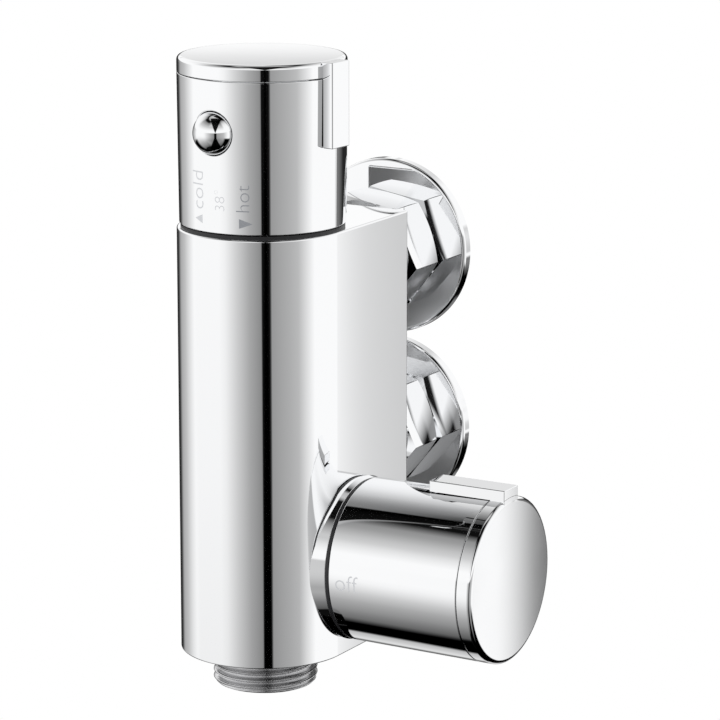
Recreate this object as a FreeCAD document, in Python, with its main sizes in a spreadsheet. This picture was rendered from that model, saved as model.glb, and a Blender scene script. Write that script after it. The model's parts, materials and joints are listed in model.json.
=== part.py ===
import FreeCAD, Part
import math
import os
import re

import Sketcher

# Thermostatic shower mixing valve for a wall. Both water pipes come out of the wall one
# above the other. The temperature knob stands on top, the flow knob on the right side.
# Frame: origin on the wall, at the upper inlet's axis. +Z up, -Y to the user, +X to the
# flow knob. Lengths are millimetres.

# Each size: name, value, what it is.
SIZES = [
    ("wall_distance", 65.5, "wall to the valve's upright axis"),
    ("inlet_spacing", 47.5, "between the two inlet axes"),
    ("body_radius", 21.35, "round front of the body"),
    ("body_depth", 35.45, "upright axis to the body's rear face"),
    ("body_top", 15.7, "body top above the upper inlet"),
    ("body_height", 108.3, "height of the body"),
    ("rim_rounding", 0.5, "rounding of the body's top rim"),
    ("flow_offset", 11.6, "flow knob's axis behind the upright axis"),
    ("flow_share", 0.534653, "flow knob's place between lower port and outlet socket"),
    ("boss_inset", 0.2, "flow knob's boss inside the knob's foot"),
    ("boss_rise", 1.4, "flow knob's boss beyond the body's flat side"),
    ("running_gap", 0.05, "radial clearance of turning and sliding fits"),
    ("seat_gap", 0.03, "radial clearance of fixed fits"),
    ("knob_inset", 0.35, "knob inside the body's outline"),
    ("knob_taper", 0.3, "knob's foot inside its cap"),
    ("knob_gap", 1.15, "body to the knob's foot"),
    ("knob_length", 41.4, "foot to end face"),
    ("knob_wall", 2.2, "wall of the knob sleeve"),
    ("cap_length", 4.15, "cap's visible band"),
    ("cap_rounding", 0.8, "rounding of the cap's edge"),
    ("cap_plate", 2.4, "cap's end plate"),
    ("spigot_length", 3.0, "cap's spigot in the sleeve"),
    ("spigot_wall", 1.6, "wall of the spigot"),
    ("fin_width", 7.2, "grip fin across"),
    ("fin_rise", 2.6, "grip fin above the knob"),
    ("fin_length", 21.0, "grip fin along the knob"),
    ("fin_root", 3.0, "grip fin inside the cap"),
    ("fin_gap", 0.15, "grip fin above the sleeve"),
    ("fin_rounding", 0.35, "rounding of the fin's outer edges"),
    ("knob_turn", -4.5, "turn of the temperature knob at 38 degrees, in degrees"),
    ("hub_radius", 8.2, "knob hub"),
    ("hub_gap", 0.8, "hub above the cartridge neck"),
    ("web_thickness", 3.0, "web that carries the hub"),
    ("insert_radius", 5.5, "splined insert in the hub"),
    ("insert_length", 7.5, "length of the insert"),
    ("screw_radius", 1.6, "knob screw"),
    ("screw_hole", 2.0, "knob screw's clearance hole"),
    ("screw_length", 7.0, "knob screw under its head"),
    ("screw_head", 3.2, "radius of the knob screw's head"),
    ("screw_head_height", 2.2, "height of the knob screw's head"),
    ("spindle_radius", 4.0, "both spindles"),
    ("spindle_end_gap", 0.3, "spindle end to the hub's web"),
    ("neck_radius", 7.5, "necks of cartridge and headwork"),
    ("neck_length", 5.3, "necks above their mounting faces"),
    ("neck_gap", 0.1, "stop rings around the necks"),
    ("stop_inset", 0.3, "stop ring inside the knob's foot"),
    ("stop_thickness", 0.85, "stop ring's plate"),
    ("lug_height", 2.1, "stop lug above its plate"),
    ("lug_width", 3.0, "stop lug along the ring"),
    ("button_height", 25.6, "button above the body's top"),
    ("button_radius", 5.42, "button head"),
    ("button_hole", 5.5, "button hole in the sleeve"),
    ("button_inset", 1.4, "centre of the button's dome inside the knob"),
    ("button_travel", 2.8, "stroke of the button"),
    ("flange_radius", 6.6, "button flange"),
    ("flange_inset", 1.8, "flange's front inside the sleeve's bore"),
    ("flange_thickness", 2.0, "button flange"),
    ("tail_radius", 2.2, "button's guide rod"),
    ("tail_reach", 6.8, "knob axis to the guide rod's end"),
    ("arm_width", 4.0, "button's stop arm"),
    ("arm_gap", 0.3, "stop arm above the stop lug"),
    ("arm_slot", 0.4, "slot beside the stop arm"),
    ("guide_inner", 5.5, "knob axis to the guide block's near face"),
    ("guide_outer", 9.0, "knob axis to the guide block's far face"),
    ("guide_width", 10.0, "guide block across"),
    ("bore_radius", 14.5, "cartridge bore"),
    ("bore_floor", 10.5, "cartridge bore above the flow knob's axis"),
    ("recess_radius", 16.0, "recess for the retaining nut"),
    ("recess_depth", 5.0, "recess for the retaining nut"),
    ("nut_clearance", 0.1, "retaining nut in its recess"),
    ("nut_thickness", 3.5, "retaining nut"),
    ("nut_bore", 8.5, "retaining nut's bore"),
    ("collar_gap", 0.1, "cartridge collars in the bore"),
    ("annulus_radius", 12.2, "cartridge at its water rings"),
    ("collar_top_end", 8.8, "top collar ends this far under the body's top"),
    ("collar_middle", 35.7, "middle collar begins"),
    ("collar_middle_end", 41.7, "middle collar ends"),
    ("collar_height", 3.6, "bottom collar"),
    ("cartridge_foot", 1.6, "water space under the cartridge"),
    ("slide_radius", 9.8, "bore in the cartridge"),
    ("slide_top", 12.7, "cartridge's bore begins"),
    ("window_radius", 1.9, "water windows in the cartridge"),
    ("window_upper", 32.9, "upper windows under the body's top"),
    ("window_lower", 52.1, "lower windows under the body's top"),
    ("groove_width", 1.6, "O-ring grooves"),
    ("groove_depth", 1.25, "O-ring grooves"),
    ("ring_gap", 0.05, "O-rings in their grooves"),
    ("seat_bore", 6.0, "spring seat's bore"),
    ("seat_height", 2.0, "spring seat"),
    ("thread_radius", 5.5, "spindle's lead screw"),
    ("thread_length", 13.8, "spindle's lead screw"),
    ("adjuster_top", 21.7, "adjusting nut under the body's top"),
    ("adjuster_web", 5.0, "adjusting nut's threaded web"),
    ("adjuster_skirt", 2.0, "adjusting nut's skirt"),
    ("shuttle_bore", 8.2, "shuttle sleeve's bore"),
    ("shuttle_web_top", 42.0, "shuttle's web under the body's top"),
    ("shuttle_web", 2.0, "shuttle's web"),
    ("shuttle_hole", 1.3, "water holes in the shuttle's web"),
    ("shuttle_hole_ring", 6.2, "ring of the water holes"),
    ("wax_radius", 4.2, "wax element's bulb"),
    ("wax_rise", 11.1, "bulb's end above the cartridge's end"),
    ("wax_flange", 5.8, "wax element's flange"),
    ("wax_flange_height", 1.5, "wax element's flange"),
    ("wax_piston", 1.5, "wax element's piston"),
    ("wax_cap", 7.6, "wax element's spring cap"),
    ("wax_cap_height", 1.2, "wax element's spring cap"),
    ("wax_cap_top", 36.3, "spring cap under the body's top"),
    ("return_coil", 6.9, "return spring's coil radius"),
    ("return_wire", 0.7, "return spring's wire radius"),
    ("overload_coil", 6.0, "overload spring's coil radius"),
    ("overload_wire", 0.7, "overload spring's wire radius"),
    ("button_coil", 3.4, "button spring's coil radius"),
    ("button_wire", 0.35, "button spring's wire radius"),
    ("check_coil", 3.2, "check valve spring's coil radius"),
    ("check_wire", 0.35, "check valve spring's wire radius"),
    ("port_radius", 5.8, "inlet ports in the body"),
    ("tail_thread", 10.48, "threaded rear ports"),
    ("tail_depth", 9.5, "threaded rear ports"),
    ("tail_clearance", 0.08, "inlet tail in its port"),
    ("tail_neck", 10.9, "inlet tail's neck"),
    ("tail_flange", 12.9, "inlet tail's flange"),
    ("tail_flange_height", 2.6, "inlet tail's flange"),
    ("tail_bore", 6.0, "inlet tail's narrow bore"),
    ("nut_across", 29.0, "union nut across its flats"),
    ("nut_length", 13.9, "union nut"),
    ("nut_lip", 3.5, "union nut's lip"),
    ("nut_lip_bore", 11.1, "union nut's lip"),
    ("nut_thread", 13.3, "union nut's thread"),
    ("nut_chamfer", 1.1, "union nut's corners"),
    ("nut_turn", -9.0, "how the union nuts stopped, in degrees"),
    ("nut_wall_gap", 0.2, "union nut to the rosette"),
    ("joint_plane", 9.0, "wall to the union's sealing face"),
    ("washer_thickness", 2.0, "sealing washer"),
    ("washer_inner", 8.3, "sealing washer"),
    ("washer_outer", 12.6, "sealing washer"),
    ("strainer_radius", 8.1, "strainer"),
    ("strainer_thickness", 0.6, "strainer"),
    ("union_radius", 13.22, "wall union's thread, G 3/4"),
    ("pipe_radius", 10.48, "wall union's pipe end, G 1/2"),
    ("pipe_length", 13.0, "pipe end behind the wall"),
    ("pipe_shoulder", 1.2, "wall union's shoulder in front of the wall"),
    ("pipe_bore", 7.0, "wall union's waterway"),
    ("rosette_radius", 23.2, "wall rosette"),
    ("rosette_depth", 3.2, "wall rosette"),
    ("rosette_sheet", 1.2, "wall rosette's wall"),
    ("rosette_rounding", 1.0, "wall rosette's shoulder"),
    ("rosette_hole", 13.6, "wall rosette's hole"),
    ("check_radius", 8.0, "pocket for the check valve"),
    ("check_depth", 15.0, "pocket for the check valve"),
    ("check_bore", 6.0, "check valve's bore"),
    ("check_lip", 4.5, "check valve's seat"),
    ("check_lip_height", 1.5, "check valve's seat"),
    ("check_mouth", 2.9, "check valve's mouth"),
    ("check_front_gap", 0.6, "check valve behind the joint"),
    ("check_spider", 1.2, "check valve's spider"),
    ("check_hole", 1.4, "holes in the spider"),
    ("check_hole_ring", 3.7, "ring of the spider's holes"),
    ("poppet_radius", 5.5, "check valve's poppet"),
    ("poppet_thickness", 1.8, "check valve's poppet"),
    ("poppet_seat_gap", 0.1, "poppet to its seat"),
    ("stem_radius", 1.2, "poppet's stem"),
    ("stem_length", 7.7, "poppet's stem"),
    ("outlet_thread", 13.22, "outlet thread, G 3/4"),
    ("outlet_length", 9.1, "outlet below the body"),
    ("outlet_undercut", 12.3, "outlet's thread runout"),
    ("outlet_undercut_height", 1.0, "outlet's thread runout"),
    ("outlet_chamfer", 0.9, "outlet thread's start"),
    ("outlet_bore", 9.0, "outlet waterway"),
    ("outlet_overlap", 2.0, "outlet waterway into the headwork's bore"),
    ("socket_radius", 12.0, "threaded socket for the outlet"),
    ("socket_depth", 9.0, "threaded socket for the outlet"),
    ("mix_passage", 3.5, "passage under the cartridge"),
    ("mix_left", 4.0, "passage left of the upright axis"),
    ("mix_back", 8.0, "passage behind the upright axis"),
    ("flow_bore", 9.0, "bore for the flow headwork"),
    ("flow_depth", 19.35, "bore for the flow headwork"),
    ("flow_recess", 10.6, "recess for the headwork's flange"),
    ("flow_recess_depth", 2.0, "recess for the headwork's flange"),
    ("flow_port", 5.0, "waterway to the ceramic discs"),
    ("flow_port_depth", 31.35, "waterway to the ceramic discs"),
    ("skirt_radius", 8.0, "headwork's skirt"),
    ("skirt_bore", 6.7, "headwork's skirt"),
    ("skirt_roof", 7.35, "skirt's inner end under the side face"),
    ("skirt_window", 1.5, "windows in the skirt"),
    ("skirt_window_depth", 11.0, "windows under the side face"),
    ("disc_radius", 6.62, "ceramic discs"),
    ("disc_thickness", 2.5, "ceramic discs"),
    ("disc_gap", 0.05, "between the ceramic discs"),
    ("disc_port", 1.7, "ports in the discs"),
    ("disc_port_offset", 3.4, "ports off the centre"),
    ("seal_height", 1.2, "rubber seat under the discs"),
    ("driver_radius", 6.4, "spindle's flange in the skirt"),
    ("driver_height", 1.9, "spindle's flange in the skirt"),
    ("stem_waist", 3.3, "spindle between flange and discs"),
    ("tongue_width", 2.4, "tongue that turns the disc"),
    ("tongue_length", 5.8, "tongue that turns the disc"),
    ("tongue_depth", 0.9, "tongue that turns the disc"),
]

# Places and radii that follow from the sizes. Heights on the cartridge, the headwork and
# the knobs count from their mounting face: the body's top, or its right side.
PLACES = {
    "socket_roof": "body_height - body_top - socket_depth",
    "port_floor": "inlet_spacing + port_radius",
    "flow_drop": "port_floor + flow_share * (socket_roof - port_floor)",
    "outlet_top": "body_height - body_top - flow_drop - flow_bore + outlet_overlap",
    "bore_depth": "body_top + flow_drop - bore_floor",
    "cartridge_end": "bore_depth - cartridge_foot",
    "collar_bottom": "cartridge_end - collar_height",
    "wax_end": "cartridge_end - wax_rise",
    "knob_radius": "body_radius - knob_inset",
    "foot_radius": "knob_radius - knob_taper",
    "stop_radius": "foot_radius - stop_inset",
    "boss_radius": "foot_radius - boss_inset",
    "button_reach": "knob_radius - button_inset",
    "flange_reach": "sleeve_bore - flange_inset",
    "hub_bottom": "neck_length + hub_gap",
    "web_bottom": "hub_bottom + insert_length",
    "web_top": "web_bottom + web_thickness",
    "knob_top": "knob_gap + knob_length",
    "cap_seam": "knob_top - cap_length",
    "sleeve_bore": "knob_radius - knob_wall",
    "spigot_radius": "sleeve_bore - seat_gap",
    "spindle_end": "web_bottom - spindle_end_gap",
    "shaft_hole": "spindle_radius + running_gap",
    "collar_radius": "bore_radius - collar_gap",
    "groove_floor": "collar_radius - groove_depth",
    "carrier_radius": "slide_radius - running_gap",
    "adjuster_end": "adjuster_top + adjuster_web + adjuster_skirt",
    "tail_fit": "tail_thread - tail_clearance",
    "rear_face": "wall_distance - body_depth",
    "tail_end": "joint_plane + washer_thickness",
    "nut_rear": "rosette_depth + nut_wall_gap",
    "nut_front": "nut_rear + nut_length",
    "check_start": "tail_end + check_front_gap",
    "check_seat": "check_start + check_mouth + check_lip_height",
    "check_end": "tail_end + check_depth - seat_gap",
    "check_fit": "check_radius - seat_gap",
    "spider_face": "check_end - check_spider",
    "poppet_face": "check_seat + poppet_seat_gap",
    "poppet_back": "poppet_face + poppet_thickness",
    "disc_floor": "flow_depth - seal_height",
    "disc_middle": "disc_floor - disc_thickness",
    "disc_roof": "disc_middle - disc_gap - disc_thickness",
    "lug_top": "stop_thickness + lug_height",
    "arm_bottom": "lug_top + arm_gap",
    "body_bottom": "body_top - body_height",
}

ORIGIN = ("0", "0", "0")
UPRIGHT = FreeCAD.Rotation()
INTO_WALL = FreeCAD.Rotation(FreeCAD.Vector(1, 0, 0), -90)
TO_THE_RIGHT = FreeCAD.Rotation(FreeCAD.Vector(1, 0, 1), 180)
ALONG_X = FreeCAD.Rotation(FreeCAD.Vector(0, 1, 0), 90)
ALONG_FRONT = FreeCAD.Rotation(FreeCAD.Vector(1, 0, 0), 90)
VALVE_TOP = ("0", "-wall_distance", "body_top")
VALVE_SIDE = ("body_radius", "flow_offset - wall_distance", "-flow_drop")
WORD = re.compile(r"[a-z][a-z_]+")
FUNCTIONS = ("sqrt", "cos", "sin", "deg")

doc = FreeCAD.newDocument("MixingValve")
sheet = doc.addObject("Spreadsheet::Sheet", "Sizes")
pieces = []


def fill_sheet():
    """Write every size with its meaning into one row of the sheet."""
    for row, (alias, size, meaning) in enumerate(SIZES, 1):
        sheet.set(f"A{row}", meaning)
        sheet.set(f"B{row}", str(size))
        sheet.setAlias(f"B{row}", alias)
    doc.recompute()


def bound(text):
    """Spell a size or place out as an expression on the sheet."""

    def spell(match):
        word = match.group(0)
        if word in PLACES:
            return "(" + bound(PLACES[word]) + ")"
        return word if word in FUNCTIONS else "Sizes." + word

    return WORD.sub(spell, text)


def value(text):
    """The number that a size or place has now."""
    return float(sheet.evalExpression(bound(text)))


def bind(item, prop, text):
    """Tie one property to the sheet, unless its text is a plain number."""
    if WORD.search(text):
        item.setExpression(prop, bound(text))


def plane(body, role):
    """The body's own origin plane with this role."""
    return next(f for f in body.Origin.OriginFeatures if f.Role == role)


def new_piece(label, at=ORIGIN, turned=UPRIGHT, turn=None):
    """An empty body at its place; turn is an angle about the upright axis."""
    body = doc.addObject("PartDesign::Body", label)
    body.Label = label
    body.Placement = FreeCAD.Placement(FreeCAD.Vector(*map(value, at)), turned)
    for axis, text in zip("xyz", at):
        bind(body, "Placement.Base." + axis, text)
    if turn:
        body.Placement.Rotation = FreeCAD.Rotation(FreeCAD.Vector(0, 0, 1), value(turn))
        bind(body, "Placement.Rotation.Angle", f"({turn}) * 1 deg")
    pieces.append(body)
    return body


def arc_centre(start, end, across):
    """Centre with the given first coordinate, equally far from both points."""
    lift = end[0] ** 2 - start[0] ** 2 + end[1] ** 2 - start[1] ** 2
    return across, (lift - 2 * across * (end[0] - start[0])) / (2 * (end[1] - start[1]))


def draw_arc(sketch, start, end, across):
    """Add the short arc between two points; returns its number and its two end marks."""
    centre = arc_centre(start, end, across)
    first = math.atan2(start[1] - centre[1], start[0] - centre[0])
    last = math.atan2(end[1] - centre[1], end[0] - centre[0])
    counter = (last - first) % (2 * math.pi) < math.pi
    if not counter:
        first, last = last, first
    circle = Part.Circle(FreeCAD.Vector(*centre, 0), FreeCAD.Vector(0, 0, 1), math.dist(start, centre))
    number = sketch.addGeometry(Part.ArcOfCircle(circle, first, last))
    return number, (1, 2) if counter else (2, 1)


def fix(sketch, kind, number, mark, text, name):
    """Hold one coordinate of a point at a size."""
    if text == "0" and kind == "DistanceX":
        sketch.addConstraint(Sketcher.Constraint("PointOnObject", number, mark, -2))
        return
    held = sketch.addConstraint(Sketcher.Constraint(kind, number, mark, value(text)))
    sketch.renameConstraint(held, name)
    bind(sketch, "Constraints." + name, text)


def outline(body, name, corners, role="XZ_Plane"):
    """A closed sketch; a corner's third entry makes the next edge an arc about that radius."""
    sketch = body.newObject("Sketcher::SketchObject", name)
    sketch.AttachmentSupport = (plane(body, role), [""])
    sketch.MapMode = "FlatFace"
    points = [(value(corner[0]), value(corner[1])) for corner in corners]
    edges = []
    for step, corner in enumerate(corners):
        start, end = points[step], points[(step + 1) % len(points)]
        if len(corner) == 3:
            edges.append(draw_arc(sketch, start, end, value(corner[2])))
        else:
            line = Part.LineSegment(FreeCAD.Vector(*start, 0), FreeCAD.Vector(*end, 0))
            edges.append((sketch.addGeometry(line), (1, 2)))
    for step, corner in enumerate(corners):
        number, marks = edges[step]
        before, marks_before = edges[step - 1]
        joined = Sketcher.Constraint("Coincident", before, marks_before[1], number, marks[0])
        sketch.addConstraint(joined)
        fix(sketch, "DistanceX", number, marks[0], corner[0], f"across_{step}")
        fix(sketch, "DistanceY", number, marks[0], corner[1], f"along_{step}")
        if len(corner) == 3:
            fix(sketch, "DistanceX", number, 3, corner[2], f"centre_{step}")
    return sketch


def revolve(body, corners, name="Turned", kind="PartDesign::Revolution"):
    """Turn an outline of radii and heights about the body's own Z axis."""
    sketch = outline(body, name + "Outline", corners)
    feature = body.newObject(kind, name)
    feature.Profile = sketch
    feature.ReferenceAxis = (sketch, ["V_Axis"])
    feature.Angle = 360
    sketch.Visibility = False
    return feature


def solid(body, kind, name, sizes, at=ORIGIN, turned=UPRIGHT):
    """A primitive that adds to or cuts the body; sizes are its own properties."""
    feature = body.newObject("PartDesign::" + kind, name)
    feature.Placement = FreeCAD.Placement(FreeCAD.Vector(*map(value, at)), turned)
    for axis, text in zip("xyz", at):
        bind(feature, "Placement.Base." + axis, text)
    for prop, text in sizes.items():
        setattr(feature, prop, value(text))
        bind(feature, prop, text)
    return feature


def drill(body, name, radius, length, at, turned=UPRIGHT):
    """A round hole that starts at a point and runs along its turned Z axis."""
    return solid(body, "SubtractiveCylinder", name, {"Radius": radius, "Height": length}, at, turned)


def block(body, name, kind, low, high):
    """A box from its low corner to its high corner."""
    spans = {
        prop: f"({top}) - ({bottom})"
        for prop, bottom, top in zip(("Length", "Width", "Height"), low, high)
    }
    return solid(body, kind, name, spans, low)


def ring_of_holes(body, name, radius, ring, count, bottom, length):
    """Round holes in a ring, along the body's Z axis."""
    hole = drill(body, name, radius, length, (ring, "0", bottom))
    pattern = body.newObject("PartDesign::PolarPattern", name + "Ring")
    pattern.Originals = [hole]
    pattern.Axis = (plane_axis(body), [""])
    pattern.Angle = 360
    pattern.Occurrences = count
    body.Tip = pattern
    return pattern


def plane_axis(body):
    """The body's own Z axis."""
    return next(f for f in body.Origin.OriginFeatures if f.Role == "Z_Axis")


def round_edges(body, name, radius, wanted):
    """Round the edges of the newest feature that the test picks."""
    doc.recompute()
    last = body.Tip
    names = [f"Edge{n}" for n, edge in enumerate(last.Shape.Edges, 1) if wanted(edge)]
    feature = body.newObject("PartDesign::Fillet", name)
    feature.Base = (last, names)
    feature.Radius = value(radius)
    bind(feature, "Radius", radius)
    return feature


def tube(label, inner, outer, low, high, at, turned=UPRIGHT):
    """A plain ring between two radii and two heights."""
    body = new_piece(label, at, turned)
    revolve(body, [(inner, low), (outer, low), (outer, high), (inner, high)])
    return body


def o_ring(label, floor, wall, height, at, turned=UPRIGHT):
    """A round ring that lies between a groove's floor and the wall around it."""
    body = new_piece(label, at, turned)
    centre = f"(({floor}) + ({wall})) / 2"
    sizes = {"Radius1": centre, "Radius2": f"(({wall}) - ({floor})) / 2 - ring_gap"}
    solid(body, "AdditiveTorus", "Ring", sizes, ("0", "0", height))
    return body


def spring(label, coil, wire, low, high, turns, at, turned=UPRIGHT, turn=None, role="XZ_Plane"):
    """A coil spring between two heights, with a wire of diamond section."""
    body = new_piece(label, at, turned, turn)
    corners = [
        (f"{coil} + {wire}", f"{low} + {wire}"),
        (coil, f"{low} + 2 * {wire}"),
        (f"{coil} - {wire}", f"{low} + {wire}"),
        (coil, low),
    ]
    sketch = outline(body, "WireSection", corners, role)
    coil_feature = body.newObject("PartDesign::AdditiveHelix", "Coil")
    coil_feature.Profile = sketch
    coil_feature.ReferenceAxis = (sketch, ["V_Axis"])
    coil_feature.Mode = "height-turns-angle"
    coil_feature.Turns = turns
    height = f"({high}) - ({low}) - 2 * {wire}"
    coil_feature.Height = value(height)
    bind(coil_feature, "Height", height)
    sketch.Visibility = False
    return body


def valve_body():
    """Cast body: round in front, flat sides and back, with the flow knob's round boss."""
    body = new_piece("valve_body", VALVE_TOP)
    section = [
        ("body_radius", "0", "0"),
        ("-body_radius", "0"),
        ("-body_radius", "body_depth"),
        ("body_radius", "body_depth"),
    ]
    pad = body.newObject("PartDesign::Pad", "Casting")
    pad.Profile = d_section(body, section)
    pad.Reversed = True
    bind(pad, "Length", "body_height")
    round_edges(body, "TopRim", "rim_rounding", lambda edge: on_top(edge, 0.0))
    flow_height = "-body_top - flow_drop"
    solid(body, "AdditiveCylinder", "FlowBoss",
          {"Radius": "boss_radius", "Height": "body_radius / 4 + boss_rise"},
          ("body_radius * 3 / 4", "flow_offset", flow_height), ALONG_X)
    drill(body, "Recess", "recess_radius", "recess_depth", ("0", "0", "-recess_depth"))
    drill(body, "CartridgeBore", "bore_radius", "bore_depth", ("0", "0", "-bore_depth"))
    for name, height in (("Upper", "-body_top"), ("Lower", "-body_top - inlet_spacing")):
        mouth = ("0", "body_depth - tail_depth", height)
        drill(body, name + "Thread", "tail_thread", "tail_depth", mouth, INTO_WALL)
        drill(body, name + "Port", "port_radius", "body_depth", ("0", "0", height), INTO_WALL)
    for name, radius, depth in (
        ("FlowRecess", "flow_recess", "flow_recess_depth"),
        ("FlowBore", "flow_bore", "flow_depth"),
        ("FlowPort", "flow_port", "flow_port_depth"),
    ):
        start = (f"body_radius - {depth}", "flow_offset", flow_height)
        drill(body, name, radius, f"{depth} + boss_rise", start, ALONG_X)
    passage = ("-mix_left", "mix_back", flow_height)
    drill(body, "MixPassage", "mix_passage", "body_top + flow_drop - bore_depth + mix_passage", passage)
    drill(body, "OutletSocket", "socket_radius", "socket_depth", ("0", "0", "-body_height"))
    drill(body, "OutletBore", "outlet_bore", "outlet_top", ("0", "0", "-body_height"))
    return body


def d_section(body, section):
    """The body's section: a half circle in front, straight sides to the rear face."""
    sketch = body.newObject("Sketcher::SketchObject", "Section")
    sketch.AttachmentSupport = (plane(body, "XY_Plane"), [""])
    sketch.MapMode = "FlatFace"
    points = [FreeCAD.Vector(value(corner[0]), value(corner[1]), 0) for corner in section]
    circle = Part.Circle(FreeCAD.Vector(0, 0, 0), FreeCAD.Vector(0, 0, 1), points[0].x)
    front = sketch.addGeometry(Part.ArcOfCircle(circle, math.pi, 2 * math.pi))
    sides = [
        sketch.addGeometry(Part.LineSegment(points[step], points[(step + 1) % 4]))
        for step in (1, 2, 3)
    ]
    left, rear, right = sides
    for constraint in (
        ("Coincident", front, 3, -1, 1),
        ("Coincident", front, 1, left, 1),
        ("Coincident", left, 2, rear, 1),
        ("Coincident", rear, 2, right, 1),
        ("Coincident", right, 2, front, 2),
        ("PointOnObject", front, 1, -1),
        ("PointOnObject", front, 2, -1),
        ("Vertical", left),
        ("Vertical", right),
        ("Horizontal", rear),
    ):
        sketch.addConstraint(Sketcher.Constraint(*constraint))
    held = sketch.addConstraint(Sketcher.Constraint("Radius", front, points[0].x))
    sketch.renameConstraint(held, "round_front")
    bind(sketch, "Constraints.round_front", "body_radius")
    fix(sketch, "DistanceY", rear, 1, "body_depth", "depth")
    return sketch


def on_top(edge, height):
    """True for an edge that lies flat at this height."""
    box = edge.BoundBox
    return abs(box.ZMin - height) < 1e-3 and abs(box.ZMax - height) < 1e-3


def outlet():
    """Threaded outlet nipple under the body, with its seal."""
    at = ("0", "-wall_distance", "body_bottom")
    body = new_piece("outlet_nipple", at)
    groove = "socket_radius - seat_gap - groove_depth"
    revolve(body, [
        ("outlet_bore", "-outlet_length"),
        ("outlet_thread - outlet_chamfer", "-outlet_length"),
        ("outlet_thread", "outlet_chamfer - outlet_length"),
        ("outlet_thread", "-outlet_undercut_height"),
        ("outlet_undercut", "-outlet_undercut_height"),
        ("outlet_undercut", "0"),
        ("socket_radius - seat_gap", "0"),
        ("socket_radius - seat_gap", "socket_depth - 2 * groove_width"),
        (groove, "socket_depth - 2 * groove_width"),
        (groove, "socket_depth - groove_width"),
        ("socket_radius - seat_gap", "socket_depth - groove_width"),
        ("socket_radius - seat_gap", "socket_depth - seat_gap"),
        ("outlet_bore", "socket_depth - seat_gap"),
    ])
    o_ring("outlet_o_ring", groove, "socket_radius", "socket_depth - 1.5 * groove_width", at)


def inlet(side, height):
    """Everything between the body and the wall at one inlet."""
    at = ("0", "0", height)
    inlet_tail(side, at)
    union_nut(side, at)
    tube(side + "_sealing_washer", "washer_inner", "washer_outer", "-tail_end", "-joint_plane",
         at, INTO_WALL)
    tube(side + "_strainer", "0", "strainer_radius", "-joint_plane - strainer_thickness",
         "-joint_plane", at, INTO_WALL)
    check_valve(side, at)
    wall_union(side, at)
    rosette(side, at)


def inlet_tail(side, at):
    """Tail that screws into the body and ends in the union's flange."""
    body = new_piece(side + "_inlet_tail", at, INTO_WALL)
    front = "-rear_face - tail_depth + seat_gap"
    floor = "tail_fit - groove_depth"
    revolve(body, [
        ("tail_bore", front),
        ("tail_fit", front),
        ("tail_fit", f"{front} + groove_width"),
        (floor, f"{front} + groove_width"),
        (floor, f"{front} + 2 * groove_width"),
        ("tail_fit", f"{front} + 2 * groove_width"),
        ("tail_fit", "-rear_face"),
        ("tail_neck", "-rear_face"),
        ("tail_neck", "-tail_end - tail_flange_height"),
        ("tail_flange", "-tail_end - tail_flange_height"),
        ("tail_flange", "-tail_end"),
        ("check_radius", "-tail_end"),
        ("check_radius", "-tail_end - check_depth"),
        ("tail_bore", "-tail_end - check_depth"),
    ])
    o_ring(side + "_inlet_o_ring", floor, "tail_thread", f"{front} + 1.5 * groove_width", at, INTO_WALL)


def union_nut(side, at):
    """Hexagon nut that draws the tail against the wall union."""
    body = new_piece(side + "_union_nut", at, INTO_WALL)
    hexagon = solid(body, "AdditivePrism", "Hexagon", {
        "Circumradius": "nut_across / 2 / cos(30 deg)",
        "Height": "nut_length",
    }, ("0", "0", "-nut_front"))
    hexagon.Polygon = 6
    hexagon.Placement.Rotation = FreeCAD.Rotation(FreeCAD.Vector(0, 0, 1), value("-nut_turn"))
    bind(hexagon, "Placement.Rotation.Angle", "-nut_turn * 1 deg")
    hexagon.Visibility = False
    corner = "nut_across / 2 / cos(30 deg) + nut_chamfer"
    flat = "nut_across / 2"
    for name, end, inward in (("Front", "-nut_front", "+"), ("Rear", "-nut_rear", "-")):
        revolve(body, [
            (flat, end),
            (corner, end),
            (corner, f"{end} {inward} nut_chamfer * 2"),
        ], name + "Corners", "PartDesign::Groove")
    drill(body, "LipBore", "nut_lip_bore", "nut_length", ("0", "0", "-nut_front"))
    drill(body, "ThreadBore", "nut_thread", "nut_length - nut_lip", ("0", "0", "nut_lip - nut_front"))


def check_valve(side, at):
    """Check valve cartridge: housing, seal, poppet and its spring."""
    body = new_piece(side + "_check_valve_housing", at, INTO_WALL)
    floor = "check_fit - groove_depth"
    middle = "(check_seat + spider_face) / 2"
    revolve(body, [
        ("check_bore", "-check_start"),
        ("check_fit", "-check_start"),
        ("check_fit", f"groove_width / 2 - {middle}"),
        (floor, f"groove_width / 2 - {middle}"),
        (floor, f"-groove_width / 2 - {middle}"),
        ("check_fit", f"-groove_width / 2 - {middle}"),
        ("check_fit", "-check_end"),
        ("stem_radius + running_gap", "-check_end"),
        ("stem_radius + running_gap", "-spider_face"),
        ("check_bore", "-spider_face"),
        ("check_bore", "-check_seat"),
        ("check_lip", "-check_seat"),
        ("check_lip", "check_lip_height - check_seat"),
    ])
    ring_of_holes(body, "SpiderHole", "check_hole", "check_hole_ring", 4, "-check_end", "check_spider")
    o_ring(side + "_check_valve_o_ring", floor, "check_radius", f"-{middle}", at, INTO_WALL)
    poppet = new_piece(side + "_check_valve_poppet", at, INTO_WALL)
    revolve(poppet, [
        ("0", "-poppet_back - stem_length"),
        ("stem_radius", "-poppet_back - stem_length"),
        ("stem_radius", "-poppet_back"),
        ("poppet_radius", "-poppet_back"),
        ("poppet_radius", "-poppet_face"),
        ("check_lip - 4 * poppet_seat_gap", "-poppet_face"),
        ("stem_radius", "check_lip_height - poppet_face"),
        ("0", "check_lip_height - poppet_face"),
    ])
    spring(side + "_check_valve_spring", "check_coil", "check_wire", "-spider_face", "-poppet_back",
           3, at, INTO_WALL)


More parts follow.
